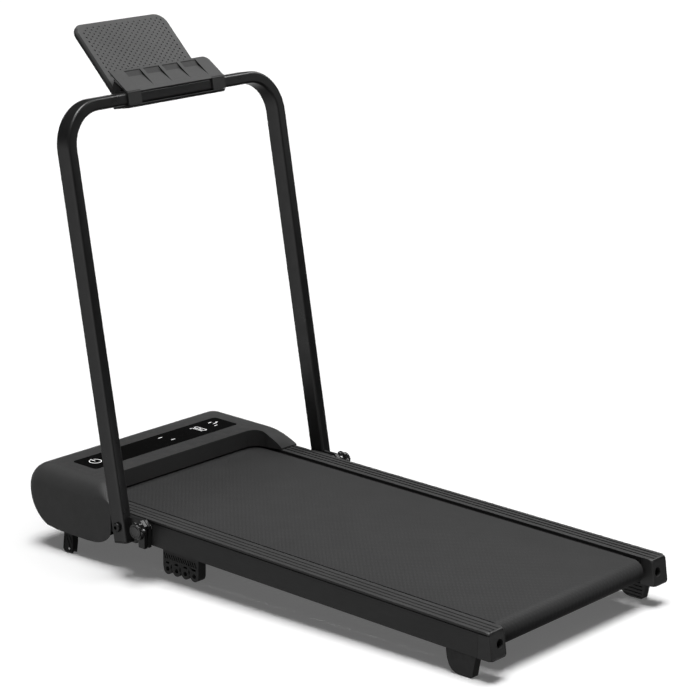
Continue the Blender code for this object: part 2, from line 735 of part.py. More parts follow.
def build_front_legs():
    wheel_y, wheel_r = 1121.5, 10.0
    wheel_z = floor_z(wheel_y) + wheel_r
    outline = [(1110, -88.8), (1109.5, -112), (1111.5, floor_z(1111) + 1.6), (1131, floor_z(1131) + 1.2),
               (1136.5, -134), (1139.6, -129.5), (1137.7, -112.7), (1134.5, -88.8)]
    # Pockets of the outer face; the walls left between them are slanting ribs.
    pockets = [
        [(1133, -99), (1135.3, -112.5), (1137, -127.5), (1133.5, -132), (1120, -132), (1123.6, -119),
         (1129.3, -107)],
        [(1129, -97), (1123.2, -97), (1119.6, -104.5), (1116.6, -112), (1113, -119), (1113, -132),
         (1117.6, -132), (1121.3, -118.4), (1126.8, -106.3)],
        [(1120.6, -97), (1112.6, -97), (1112.4, -114.5), (1114.2, -111), (1117.2, -103.6)],
    ]
    for name, side in SIDES:
        rings = []
        for x, taper in ((273, 0.0), (256, 1.0)):
            rings.append([(side * (x + taper * 3.2 * (-88.8 - z) / 48), y, z) for y, z in outline])
        leg = add(f"front_leg_{name}", loft(rings), (side * 262, 1122, -110), RUBBER, root)
        low, high = sorted((side * 258.2, side * 267.5))
        join(leg, f"leg_stem_{name}", box(low, high, 1111, 1132, -92, -76.4), root)
        low, high = sorted((side * 261.2, side * 269.8))
        cut(leg, f"leg_slot_{name}", box(low, high, 1110.8, 1133.5, -160, -114.5), root)
        low, high = sorted((side * 240, side * 290))
        cut(leg, f"leg_pin_hole_{name}", rod("x", low, high, 2.8, (wheel_y, wheel_z), 12), root)
        low, high = sorted((side * 271.3, side * 276))
        cut(leg, f"leg_pockets_{name}", merged([prism_x(p, low, high) for p in pockets]), root)
        low, high = sorted((side * 261.8, side * 269.2))
        wheel = lathe(
            [(low, 2.9), (low, wheel_r - 1.0), (low + 1.0, wheel_r), (high - 1.0, wheel_r),
             (high, wheel_r - 1.0), (high, 2.9)],
            "x",
            (wheel_y, wheel_z),
            24,
        )
        wheel = add(
            f"transport_roller_{name}", wheel, (side * 265.5, wheel_y, wheel_z), CHARCOAL, root
        )
        low, high = sorted((side * 257.6, side * 272.2))
        pin = rod("x", low, high, 2.5, (wheel_y, wheel_z), 12)
        pin = add(f"roller_pin_{name}", pin, (side * 262.5, wheel_y, wheel_z), STEEL, root)
        smooth(wheel, pin)


# ---------------------------------------------------------------- handle


def build_brackets():
    outline = [(868, -57.5), (887, -57.5), (889, -52.5), (904, -52.5), (906, -57.4), (944, -57.4),
               (947, -52), (950, -20), (946, -8), (936, -2), (880, -2), (868, -12)]
    for name, side in SIDES:
        low, high = sorted((side * BRACKET_X[0], side * BRACKET_X[1]))
        bracket = add(
            f"handle_bracket_{name}", prism_x(outline, low, high), (side * 280, 909, -31), DARK_STEEL, root
        )
        low, high = sorted((side * 245, side * (BRACKET_X[0] + 3)))
        join(bracket, f"bracket_flange_{name}", box(low, high, 906, 944, -57.4, -55.3), root)
        low, high = sorted((side * 200, side * 320))
        cut(
            bracket,
            f"bracket_pivot_hole_{name}",
            rod("x", low, high, 5.4, (PIVOT_Y, PIVOT_Z), 16),
            root,
        )
        low, high = sorted((side * 276.2, side * 290))
        reach = math.hypot(KNOB_Y - PIVOT_Y, KNOB_Z - PIVOT_Z)
        start = math.degrees(math.atan2(KNOB_Z - PIVOT_Z, KNOB_Y - PIVOT_Y))
        notch = arc((PIVOT_Y, PIVOT_Z), reach - 4.6, start, start + 70, 8)
        notch += arc((PIVOT_Y, PIVOT_Z), reach + 4.6, start + 70, start, 8)
        cut(bracket, f"bracket_notch_{name}", prism_x(notch, low, high), root)
        end = rod("x", low, high, 4.6, (KNOB_Y, KNOB_Z), 16)
        cut(bracket, f"bracket_notch_end_{name}", end, root)
        low, high = sorted((side * 283.8, side * 285.7))
        washer = lathe(
            [(low, 5.4), (low, 13), (high, 13), (high, 5.4)], "x", (PIVOT_Y, PIVOT_Z), 24
        )
        washer = add(f"pivot_washer_{name}", washer, (side * 285, PIVOT_Y, PIVOT_Z), STEEL, root)
        stations = [(277, 4.4), (278, 5), (311.4, 5), (311.4, 10), (316, 10), (317.6, 8.4)]
        bolt = stepped("x", [(side * x, r) for x, r in stations], (PIVOT_Y, PIVOT_Z), 20)
        bolt = add(f"pivot_bolt_{name}", bolt, (side * 300, PIVOT_Y, PIVOT_Z), DARK_STEEL, root)
        cut(
            bolt,
            f"bolt_socket_{name}",
            rod("x", *sorted((side * 314, side * 330)), 4.2, (PIVOT_Y, PIVOT_Z), 6),
            root,
        )
        smooth(washer, bolt, bracket)


def handle_point(x, s, a):
    """A point of the leaning U plane: s along the uprights from the pivot, a forward of the plane."""
    lean = math.radians(LEAN)
    y = PIVOT_Y + s * math.sin(lean) + a * math.cos(lean)
    z = PIVOT_Z + s * math.cos(lean) - a * math.sin(lean)
    return (x, y, z)


def handle_path():
    """Centre line of the U from the left foot to the right: x, s and the outward direction."""
    side = HANDLE_OUT - TUBE_W / 2
    top = CROSSBAR_S
    stops = [(-side, TUBE_FOOT_S, 180), (-side, 250, 180), (-side, 520, 180)]
    for i in range(9):
        turn = 180 - 90 * i / 8
        x = -side + BEND_R + BEND_R * math.cos(math.radians(turn))
        s = top - BEND_R + BEND_R * math.sin(math.radians(turn))
        stops.append((x, s, turn))
    mirrored = [(-x, s, 180 - turn) for x, s, turn in reversed(stops)]
    return stops + mirrored


def tube_rings(inset, beyond):
    """Rings of the U tube, drawn in by a wall and run on past its feet."""
    section = rounded(TUBE_W - 2 * inset, TUBE_D - 2 * inset, TUBE_CORNER - inset, 4)
    path = handle_path()
    path[0] = (path[0][0], path[0][1] - beyond, path[0][2])
    path[-1] = (path[-1][0], path[-1][1] - beyond, path[-1][2])
    rings = []
    for x, s, turn in path:
        ring = []
        for out, fore in section:
            across = x + out * math.cos(math.radians(turn))
            along = s + out * math.sin(math.radians(turn))
            ring.append(handle_point(across, along, fore))
        rings.append(ring)
    return rings


def build_handle():
    rings = tube_rings(0.0, 0.0)
    section = rounded(TUBE_W, TUBE_D, TUBE_CORNER, 4)
    handle = add("handle", loft(rings), (0, PIVOT_Y, PIVOT_Z), BLACK_PAINT, root)
    cut(handle, "handle_bore", loft(tube_rings(TUBE_WALL, 20.0)), root)
    lug = [(869, -57.5), (886, -57.5), (887, -46), (903, -43), (921, -41), (921, -10), (914, 0), (880, 0),
           (869, -10)]
    for name, side in SIDES:
        low, high = sorted((side * LUG_X[0], side * LUG_X[1]))
        join(handle, f"handle_lug_{name}", prism_x(lug, low, high), root)
        low, high = sorted((side * 270, side * 340))
        cut(handle, f"handle_pivot_hole_{name}", rod("x", low, high, 5.4, (PIVOT_Y, PIVOT_Z), 16), root)
        low, high = sorted((side * 270, side * 300))
        cut(handle, f"handle_stud_hole_{name}", rod("x", low, high, 4.3, (KNOB_Y, KNOB_Z), 16), root)
        bolt = stepped(
            "x",
            [(side * x, r) for x, r in ((274.0, 6), (274.6, 7.2), (276.1, 7.2), (276.1, 4), (311, 4))],
            (KNOB_Y, KNOB_Z),
            16,
        )
        smooth(add(f"lock_bolt_{name}", bolt, (side * 285, KNOB_Y, KNOB_Z), STEEL, root))
        plug = []
        for s in (TUBE_FOOT_S - 0.3, TUBE_FOOT_S - 4.0):
            centre = side * (HANDLE_OUT - TUBE_W / 2)
            plug.append([handle_point(centre + x, s, a) for x, a in section])
        smooth(add(f"handle_plug_{name}", loft(plug), handle_point(side * 298.5, -32, 0), CHARCOAL, root))
    smooth(handle)
    return handle


def lobed(radius, depth, lobes, points):
    """Outline of a hand knob with scalloped sides."""
    ring = []
    for i in range(points):
        turn = 2 * math.pi * i / points
        r = radius - depth * (0.5 - 0.5 * math.cos(lobes * turn))
        ring.append((r * math.cos(turn), r * math.sin(turn)))
    return ring


def build_knobs():
    stations = [(295.4, 11.0, False), (299.5, 12.0, False), (301.0, 17.2, True), (303.6, 19.8, True),
                (309.8, 19.8, True), (312.4, 17.6, True), (313.2, 15.2, False), (315.9, 15.2, False),
                (316.5, 14.2, False)]
    count = 48
    for name, side in SIDES:
        rings = []
        for x, radius, scalloped in stations:
            ring = lobed(radius, 3.4 if scalloped else 0.0, KNOB_LOBES, count)
            rings.append([(side * x, KNOB_Y + y, KNOB_Z + z) for y, z in ring])
        knob = add(f"lock_knob_{name}", loft(rings), (side * 305, KNOB_Y, KNOB_Z), KNOB_BLACK, root)
        low, high = sorted((side * 290, side * 312))
        cut(knob, f"knob_bore_{name}", rod("x", low, high, 4.15, (KNOB_Y, KNOB_Z), 16), root)
        smooth(knob)


# ---------------------------------------------------------------- device holder


def bar_point(a, b):
    """A (y, z) point from the crossbar's centre: a fore, b up, square to the tube's section."""
    _, y, z = handle_point(0, CROSSBAR_S + b, a)
    return (y, z)


def plate_point(x, t, n):
    """A point of the back plate: t up its face from its foot, n behind the face."""
    lean = math.radians(45.8)
    y = 1113.9 + t * math.sin(lean) + n * math.cos(lean)
    z = 820.0 + t * math.cos(lean) - n * math.sin(lean)
    return (x, y, z)


def build_holder():
    cover_foot = (1063.6, 826.0)
    cover_top = (1118.0, 862.0)
    body = [
        bar_point(-22.8, -12.4),
        bar_point(-19.7, -12.4),
        bar_point(-19.7, 12.9),
        bar_point(19.7, 12.9),
        bar_point(19.7, -12.4),
        bar_point(24.0, -12.4),
        bar_point(24.0, 15.0),
        (1100.5, 825.8),
        (1089.5, 829.5),
        (1083.5, 835.6),
        (1118.6, 857.6),
        (1120.2, 859.6),
        cover_top,
        cover_foot,
    ]
    origin = (0, *bar_point(0, 12.9))
    holder = add("holder_body", prism_x(body, -HOLDER_HALF, HOLDER_HALF), origin, HOLDER_GREY, root)
    # Between the end clips the rear of the crossbar is bare.
    window = [bar_point(-40, -40), bar_point(-19.9, -40), bar_point(-19.9, 12.6), bar_point(-24.5, 14.6)]
    window += [bar_point(-40, 14.6)]
    cut(holder, "holder_window", prism_x(window, -102, 102), root)
    gusset = [(1082, 833), (1088, 827), (1104, 823.5), (1113, 833), (1108, 850.2)]
    for i, x in enumerate((-134.5, -80, -27, 27, 80, 134.5)):
        join(holder, f"holder_rib_{i}", prism_x(gusset, x - 1.8, x + 1.8), root)
    slope = math.atan2(cover_top[1] - cover_foot[1], cover_top[0] - cover_foot[0])

    def on_cover(x, s, n):
        y = cover_foot[0] + s * math.cos(slope) - n * math.sin(slope)
        z = cover_foot[1] + s * math.sin(slope) + n * math.cos(slope)
        return (x, y, z)

    backing = [(14, -2.0), (62, -2.0), (62, -4.4), (48, -6.6), (14, -3.4)]
    backing = [on_cover(0, s, n)[1:] for s, n in backing]
    join(holder, "holder_backing", prism_x(backing, -104, 103.5), root)
    louvre = [(60, 3), (60, -1.4), (47, -4.9), (11, -0.05), (9, 3)]
    louvre = [on_cover(0, s, n)[1:] for s, n in louvre]
    louvres = [prism_x(louvre, x - LOUVRE_WIDTH, x) for x in LOUVRE_EDGES]
    cut(holder, "holder_louvres", merged(louvres), root)
    length = 175.4
    outline = [(-PLATE_HALF, 0), (PLATE_HALF, 0)]
    outline += arc((PLATE_HALF - 27, length - 27), 27, 0, 90, 6)
    outline += arc((-PLATE_HALF + 27, length - 27), 27, 90, 180, 6)
    rings = []
    for n, inset in ((0.0, 1.2), (1.2, 0.0), (PLATE_THICK - 2, 0.0), (PLATE_THICK, 2.0)):
        rings.append([
            plate_point(x * (1 - inset / PLATE_HALF), t * (1 - inset / length), n) for x, t in outline
        ])
    plate = add("holder_back_plate", loft(rings), plate_point(0, 60, 5), HOLDER_GREY, root)
    lip = [bar_point(24.3, -8), bar_point(28.5, -8), bar_point(28.5, 3), bar_point(31, 8), bar_point(36, 16)]
    lip += [plate_point(0, 8, 8)[1:], plate_point(0, 5, 3)[1:], bar_point(24.3, 13)]
    join(plate, "holder_plate_lip", prism_x(lip, -120, 120), root)
    clamp = [bar_point(-22.8, -12.8), bar_point(-22.8, -15), bar_point(-19, -18.9), bar_point(27.5, -18.9),
             bar_point(29.4, -17), bar_point(29.4, -12.8)]
    clamp = add("holder_clamp", prism_x(clamp, -136, 136), (0, *bar_point(0, -15)), HOLDER_GREY, root)
    for name, side in SIDES:
        x = side * 90
        screw = []
        for a, radius in ((21.0, 1.9), (28.8, 1.9), (28.8, 4.0), (31.0, 3.4)):
            ring = []
            for i in range(12):
                turn = 2 * math.pi * i / 12
                y, z = bar_point(a, radius * math.sin(turn) - 3)
                ring.append((x + radius * math.cos(turn), y, z))
            screw.append(ring)
        centre = (x, *bar_point(26, -3))
        smooth(add(f"holder_screw_{name}", loft(screw), centre, STEEL, root))
        for target, tool in ((holder, "body"), (plate, "plate")):
            bore = []
            for a in (15.0, 40.0):
                ring = []
                for i in range(12):
                    turn = 2 * math.pi * i / 12
                    y, z = bar_point(a, 2.2 * math.sin(turn) - 3)
                    ring.append((x + 2.2 * math.cos(turn), y, z))
                bore.append(ring)
            cut(target, f"holder_screw_bore_{tool}_{name}", loft(bore), root)
    smooth(plate, holder, clamp)


build_frame()
build_rails()
build_rollers()
build_belts_and_deck()
build_drive()
build_hood()
build_belly()
build_power()
build_rear_feet()
build_cushion_feet()
build_front_legs()
build_brackets()
build_handle()
build_knobs()
build_holder()
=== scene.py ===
import math

import bmesh
import bpy
from mathutils import Matrix, Vector


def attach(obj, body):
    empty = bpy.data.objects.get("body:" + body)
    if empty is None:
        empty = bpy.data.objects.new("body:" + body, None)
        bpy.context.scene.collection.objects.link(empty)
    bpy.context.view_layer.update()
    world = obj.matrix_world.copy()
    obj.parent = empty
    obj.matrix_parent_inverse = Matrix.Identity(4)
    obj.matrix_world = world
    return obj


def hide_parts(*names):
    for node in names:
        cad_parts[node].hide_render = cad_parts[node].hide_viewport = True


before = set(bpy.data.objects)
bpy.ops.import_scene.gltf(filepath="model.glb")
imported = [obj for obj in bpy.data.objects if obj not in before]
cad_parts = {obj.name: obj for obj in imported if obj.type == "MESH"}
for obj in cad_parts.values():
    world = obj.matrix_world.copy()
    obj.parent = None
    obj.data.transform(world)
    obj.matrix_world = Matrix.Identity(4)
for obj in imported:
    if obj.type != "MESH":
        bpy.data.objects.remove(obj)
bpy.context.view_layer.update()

# Lengths below are millimetres in the deck frame: x to the walker's right, y towards the
# hood, z up from the top of the side rails. The frame is tilted and raised as in the CAD.
MM = 0.001
TILT = math.radians(2.0)
SHIFT_Y = -627.3
REAR_FLOOR_Y = 45.0
REAR_FLOOR_Z = -99.5
LIFT = -REAR_FLOOR_Z * math.cos(TILT) - REAR_FLOOR_Y * math.sin(TILT)
DECK = Matrix.Translation((0.0, SHIFT_Y * MM, LIFT * MM)) @ Matrix.Rotation(TILT, 4, "X")

ROLLER_R, ROLLER_Z = 22.0, -27.5
REAR_ROLLER_Y, FRONT_ROLLER_Y, BELT_HALF = 35.6, 1095.0, 219.0
BELT_GAP, BELT_THICK, BELT_TURN_STEPS = 0.2, 1.8, 40
PIVOT_Y, PIVOT_Z = 930.0, -21.0
LEAN = math.radians(10.54)
HANDLE_OUT, TUBE_W, TUBE_D, TUBE_CORNER = 311.0, 25.0, 38.5, 5.5
CROSSBAR_S, BEND_R, TUBE_FOOT_S = 844.7, 82.5, -30.0
UPRIGHT_STOPS, TUBE_WALL = (250.0, 520.0), 1.8
LUG_INNER_X, LUG_OUTER_X = 286.6, 295.0
KNOB_Y, KNOB_Z, KNOB_LOBES = 875.0, -16.0, 6
HOOD_HALF, HOOD_TOP, HOOD_WALL_Y, HOOD_FRONT = 277.5, 37.5, 1053.0, 1256.5
HOOD_BOTTOM, HOOD_FILLET, ARM_END = -91.0, 38.0, 985.0
HOOD_FLAT_Y, NOSE_UPPER_R, NOSE_LOWER_R, NOSE_STEPS = 1130.0, 54.0, 74.0, 22
HOOD_REAR_CORNER, POWER_OPENING = 30.0, (150.0, 214.0, 1226.0, 1300.0, -47.0, -3.0)
DISPLAY = (-212.0, 212.0, 1101.0, 1174.0)
MARK_LOW, MARK_HIGH = HOOD_TOP + 0.22, HOOD_TOP + 0.42
DIGIT_WIDE, DIGIT_TALL, DIGIT_Y = 9.0, 31.0, 1122.0
POWER_SIGN, POWER_SIGN_R, MARK_LINE = (-177.0, 1140.0), (13.5, 12.0), 1.9
# The small bars on the display: x, y and length.
SMALL_BARS = ((38, 1127, 12), (26, 1155, 12), (172, 1130, 9), (182, 1142, 12), (176, 1153, 10),
              (190, 1146, 7))
RAIL_EDGE, RAIL_SIDE, RAIL_INNER, RAIL_HEIGHT = 275.0, 273.5, 228.5, 55.0
GROOVES = (241.0, 252.5, 264.0)
GROOVE_WALL = ((2.3, 0.0), (1.6, -0.5), (1.0, -1.7))
RAIL_START, RAIL_END = 25.3, 1046.0
CAP_HOLE_X, CAP_HOLE_R, CAP_BOLT_R = 245.0, 9.0, 4.7
CAP_GROOVE_Y, CAP_LEAN, CAP_PLATE_Y = 4.0, 0.155, 3.4
SIDES = (("left", -1), ("right", 1))


# ---------------------------------------------------------------- materials


class Look:
    """A Principled material whose colour, roughness and relief come from 3-D textures."""

    def __init__(self, name, roughness, metallic=0.0):
        self.material = bpy.data.materials.new(name)
        self.material.use_nodes = True
        self.tree = self.material.node_tree
        self.shader = self.tree.nodes["Principled BSDF"]
        self.shader.inputs["Roughness"].default_value = roughness
        self.shader.inputs["Metallic"].default_value = metallic
        self.place = self.tree.nodes.new("ShaderNodeTexCoord").outputs["Object"]
        self.height = None

    def node(self, kind, **settings):
        made = self.tree.nodes.new(kind)
        for key, value in settings.items():
            setattr(made, key, value)
        return made

    def link(self, one, two):
        self.tree.links.new(one, two)

    def mapped(self, scale=(1, 1, 1), turn=(0, 0, 0)):
        made = self.node("ShaderNodeMapping")
        made.inputs["Scale"].default_value = scale
        made.inputs["Rotation"].default_value = turn
        self.link(self.place, made.inputs["Vector"])
        return made.outputs["Vector"]

    def noise(self, scale, detail=3.0, stretch=(1, 1, 1), roughness=0.5):
        made = self.node("ShaderNodeTexNoise")
        made.inputs["Scale"].default_value = scale
        made.inputs["Detail"].default_value = detail
        made.inputs["Roughness"].default_value = roughness
        self.link(self.mapped(stretch), made.inputs["Vector"])
        return made.outputs["Fac"]

    def cells(self, scale, randomness=1.0):
        made = self.node("ShaderNodeTexVoronoi", feature="F1")
        made.inputs["Scale"].default_value = scale
        made.inputs["Randomness"].default_value = randomness
        self.link(self.mapped(), made.inputs["Vector"])
        return made.outputs["Distance"]

    def waves(self, scale, turn=0.0):
        """Sine bands across x, turned about z by some degrees."""
        made = self.node("ShaderNodeTexWave", bands_direction="X", wave_profile="SIN")
        made.inputs["Scale"].default_value = scale
        self.link(self.mapped(turn=(0, 0, math.radians(turn))), made.inputs["Vector"])
        return made.outputs["Fac"]

    def spread(self, value, low, high, start=0.3, end=0.7):
        made = self.node("ShaderNodeMapRange")
        made.inputs["From Min"].default_value = start
        made.inputs["From Max"].default_value = end
        made.inputs["To Min"].default_value = low
        made.inputs["To Max"].default_value = high
        self.link(value, made.inputs["Value"])
        return made.outputs["Result"]

    def diamonds(self, scale):
        """Raised lozenges: two sine waves crossing at 45 degrees to the length."""
        return self.maths("MULTIPLY", self.waves(scale, 45), self.waves(scale, -45))

    def maths(self, operation, *values):
        made = self.node("ShaderNodeMath", operation=operation)
        for socket, value in zip(made.inputs, values):
            if isinstance(value, (int, float)):
                socket.default_value = value
            else:
                self.link(value, socket)
        return made.outputs["Value"]

    def colour(self, value, dark, light, start=0.3, end=0.7):
        made = self.node("ShaderNodeMix", data_type="RGBA")
        made.inputs["A"].default_value = (*dark, 1.0)
        made.inputs["B"].default_value = (*light, 1.0)
        self.link(self.spread(value, 0.0, 1.0, start, end), made.inputs["Factor"])
        self.link(made.outputs["Result"], self.shader.inputs["Base Color"])

    def rough(self, value, low, high, start=0.3, end=0.7):
        self.link(self.spread(value, low, high, start, end), self.shader.inputs["Roughness"])

    def relief(self, value, depth, strength=1.0):
        """Adds a height; depth is in millimetres."""
        made = self.node("ShaderNodeBump")
        made.inputs["Distance"].default_value = depth * MM
        made.inputs["Strength"].default_value = strength
        self.link(value, made.inputs["Height"])
        if self.height:
            self.link(self.height, made.inputs["Normal"])
        self.height = made.outputs["Normal"]
        self.link(self.height, self.shader.inputs["Normal"])

    def gloss(self, coat=0.0, coat_roughness=0.1, specular=0.5, ior=1.5):
        self.shader.inputs["Coat Weight"].default_value = coat
        self.shader.inputs["Coat Roughness"].default_value = coat_roughness
        self.shader.inputs["Specular IOR Level"].default_value = specular
        self.shader.inputs["IOR"].default_value = ior


def grey(value, tint=0.0):
    return (value, value, value * (1.0 + tint))


def grained_plastic(name, dark, light, roughness, grain=1400.0, depth=0.05, specular=0.4):
    look = Look(name, roughness)
    look.colour(look.noise(9.0, 4.0), grey(dark), grey(light))
    look.rough(look.noise(55.0, 3.0), roughness - 0.06, roughness + 0.06)
    look.relief(look.cells(grain), depth)
    look.relief(look.noise(grain * 0.35, 2.0), depth * 0.6)
    look.gloss(specular=specular)
    return look.material


def satin_paint(name, dark, light, roughness, coat=0.3, specular=0.4):
    look = Look(name, roughness)
    look.colour(look.noise(6.0, 3.0), grey(dark), grey(light, 0.02))
    look.rough(look.noise(40.0, 4.0), roughness - 0.07, roughness + 0.05)
    look.relief(look.noise(420.0, 2.0), 0.02)
    look.relief(look.noise(1800.0, 1.0), 0.006)
    look.gloss(coat, 0.18, specular)
    return look.material


def drawn_metal(name, dark, light, roughness, metallic, along=(1, 0.03, 1), scale=900.0, specular=0.5):
    """Extruded or turned metal: fine lines along one direction."""
    look = Look(name, roughness, metallic)
    lines = look.noise(scale, 3.0, along)
    look.colour(look.noise(8.0, 3.0), grey(dark), grey(light))
    look.rough(lines, roughness - 0.08, roughness + 0.1)
    look.relief(lines, 0.02)
    look.gloss(specular=specular)
    return look.material


def moulded_rubber(name, dark, light, roughness=0.75):
    look = Look(name, roughness)
    look.colour(look.noise(30.0, 5.0), grey(dark), grey(light))
    look.rough(look.noise(90.0, 3.0), roughness - 0.08, roughness + 0.1)
    look.relief(look.noise(1500.0, 3.0), 0.06)
    look.relief(look.cells(500.0), 0.03)
    look.gloss(specular=0.25)
    return look.material


def belt_cover():
    """PVC running surface: a shallow diamond emboss over a fine one, dull and a little mottled."""
    look = Look("belt cover", 0.62)
    coarse = look.diamonds(41.0)
    fine = look.diamonds(150.0)
    mottled = look.maths("MULTIPLY_ADD", look.noise(14.0, 5.0), 0.6, look.spread(coarse, 0.0, 0.25))
    look.colour(mottled, grey(0.030), grey(0.040, 0.01), 0.1, 0.9)
    look.relief(coarse, 0.30)
    look.relief(fine, 0.12)
    look.relief(look.noise(2600.0, 2.0), 0.03)
    look.rough(fine, 0.7, 0.55, 0.0, 1.0)
    look.gloss(specular=0.2)
    return look.material


def display_glass():
    look = Look("display glass", 0.12)
    look.colour(look.noise(5.0, 2.0), grey(0.0025), grey(0.004))
    look.rough(look.noise(18.0, 5.0), 0.10, 0.2)
    look.relief(look.noise(60.0, 2.0), 0.01)
    look.gloss(specular=0.12)
    return look.material


def lit(name, colour, strength):
    look = Look(name, 0.4)
    look.colour(look.noise(200.0, 2.0), grey(0.6), grey(0.8))
    look.shader.inputs["Emission Color"].default_value = (*colour, 1.0)
    look.shader.inputs["Emission Strength"].default_value = strength
    return look.material


def circuit_board():
    look = Look("circuit board", 0.5)
    look.colour(look.cells(250.0, 0.2), (0.008, 0.06, 0.025), (0.015, 0.11, 0.05))
    look.relief(look.waves(500.0), 0.05)
    look.rough(look.noise(100.0), 0.35, 0.6)
    return look.material


def fibreboard():
    """Black laminated board; the pressed grain shows faintly through the film."""
    look = Look("deck board", 0.55)
    grainy = look.noise(60.0, 6.0, (1, 0.08, 1))
    look.colour(grainy, (0.006, 0.006, 0.006), (0.010, 0.009, 0.009))
    look.relief(grainy, 0.1)
    look.rough(look.noise(300.0), 0.45, 0.65)
    look.gloss(specular=0.1)
    return look.material


HOOD_PLASTIC = grained_plastic("hood plastic", 0.047, 0.054, 0.52, 1500.0, 0.045, 0.22)
CAP_PLASTIC = grained_plastic("cap plastic", 0.030, 0.036, 0.46, 1300.0, 0.04, 0.3)
PAN_PLASTIC = grained_plastic("underside plastic", 0.012, 0.017, 0.6, 900.0, 0.06, 0.2)
HOLDER_PLASTIC = grained_plastic("holder plastic", 0.076, 0.086, 0.58, 1600.0, 0.03, 0.25)
COVER_PLASTIC = grained_plastic("holder cover plastic", 0.066, 0.075, 0.55, 1600.0, 0.03, 0.25)
CLIP_PLASTIC = grained_plastic("holder clip plastic", 0.036, 0.043, 0.58, 1600.0, 0.03, 0.2)
# Painted shade: a darker copy of the cover plastic for the steep upper band of each louvre recess.
RECESS_PAINTED_SHADE = grained_plastic("holder recess painted shade", 0.042, 0.048, 0.58, 1600.0, 0.03, 0.2)
# Dark plastic for the holder's spine, ribs and clamp; also used as painted shade on the cover and the back
# plate.
HOLDER_DARK_AND_SHADE = grained_plastic("holder dark plastic and painted shade", 0.02, 0.026, 0.55, 1500.0, 0.04, 0.2)
KNOB_PLASTIC = satin_paint("knob plastic", 0.014, 0.020, 0.24, 0.6)
TUBE_PAINT = satin_paint("tube paint", 0.010, 0.014, 0.34, 0.0, 0.5)
FRAME_PAINT = satin_paint("frame paint", 0.014, 0.02, 0.45, 0.1)
# The rail's one coating in two copies: the top copy is lighter than the side, as painted light.
RAIL_SIDE_COAT = drawn_metal("rail side coating", 0.029, 0.034, 0.45, 0.0, specular=0.25)
RAIL_TOP_PAINTED_LIGHT = drawn_metal("rail top painted light", 0.043, 0.050, 0.45, 0.0, specular=0.25)
# Painted shade: a darker copy of the coating for the grooves, the inner lip and the ledge under the top rib.
RAIL_PAINTED_SHADE = drawn_metal("rail groove painted shade", 0.012, 0.016, 0.6, 0.0, specular=0.1)
BOLT_BLACK = drawn_metal("blackened bolt", 0.03, 0.05, 0.35, 0.8, (1, 1, 1), 700.0)
BRIGHT_STEEL = drawn_metal("bright steel", 0.45, 0.58, 0.3, 1.0, (0.05, 1, 1), 900.0)
ROLLER_STEEL = drawn_metal("roller steel", 0.12, 0.18, 0.35, 0.9, (0.05, 1, 1), 700.0)
CAST_METAL = drawn_metal("cast aluminium", 0.4, 0.5, 0.42, 1.0, (1, 1, 1), 500.0)
MOTOR_METAL = drawn_metal("motor casing", 0.08, 0.11, 0.45, 0.6, (1, 1, 1), 400.0)
RUBBER = moulded_rubber("foot rubber", 0.034, 0.042)
LEG_RUBBER = moulded_rubber("leg rubber", 0.013, 0.018)
DRIVE_RUBBER = moulded_rubber("belt rubber", 0.012, 0.018)
BELT = belt_cover()
GLASS = display_glass()
BOARD = circuit_board()
WOOD = fibreboard()
LIT_WHITE = lit("lit segments", (1.0, 1.0, 1.0), 0.8)


# ---------------------------------------------------------------- shape helpers


def add_ring(bm, points):
    return [bm.verts.new(point) for point in points]


def add_band(bm, one, two):
    """Quads between two rings of equally many vertices."""
    count = len(one)
    for i in range(count):
        j = (i + 1) % count
        bm.faces.new((one[i], one[j], two[j], two[i]))


def loft(rings, closed=False):
    """A skin through rings of equally many points: capped at both ends, or closed on itself."""
    bm = bmesh.new()
    made = [add_ring(bm, ring) for ring in rings]
    pairs = list(zip(made, made[1:]))
    if closed:
        pairs.append((made[-1], made[0]))
    for one, two in pairs:
        add_band(bm, one, two)
    if not closed:
        bm.faces.new(made[0])
        bm.faces.new(made[-1])
    return bm


def prism_x(profile, x0, x1):
    return loft([[(x, y, z) for y, z in profile] for x in sorted((x0, x1))])


def prism_y(profile, y0, y1):
    return loft([[(x, y, z) for x, z in profile] for y in (y0, y1)])


def prism_z(plan, z0, z1):
    return loft([[(x, y, z) for x, y in plan] for z in (z0, z1)])


def box(x0, x1, y0, y1, z0, z1):
    return prism_x([(y0, z0), (y1, z0), (y1, z1), (y0, z1)], x0, x1)


def stepped(axis, stations, centre, segments=48, outline=None):
    """Discs of several radii in a row along x or y; outline can reshape a ring."""
    rings = []
    for along, radius in stations:
        ring = []
        for i in range(segments):
            turn = 2 * math.pi * i / segments
            r = outline(radius, turn) if outline else radius
            across = r * math.cos(turn)
            up = r * math.sin(turn)
            if axis == "x":
                ring.append((along, centre[0] + across, centre[1] + up))
            else:
                ring.append((centre[0] + across, along, centre[1] + up))
        rings.append(ring)
    return loft(rings)


def arc(centre, radius, start, end, count):
    points = []
    for i in range(count + 1):
        turn = math.radians(start + (end - start) * i / count)
        points.append((centre[0] + radius * math.cos(turn), centre[1] + radius * math.sin(turn)))
    return points


def rounded(width, height, radius, steps):
    a = width / 2 - radius
    b = height / 2 - radius
    points = []
    for cx, cy, start in ((a, b, 0), (-a, b, 90), (-a, -b, 180), (a, -b, 270)):
        points += arc((cx, cy), radius, start, start + 90, steps)
    return points


def merged(pieces):
    whole = bmesh.new()
    for piece in pieces:
        mesh = bpy.data.meshes.new("piece")
        piece.to_mesh(mesh)
        piece.free()
        whole.from_mesh(mesh)
        bpy.data.meshes.remove(mesh)
    return whole


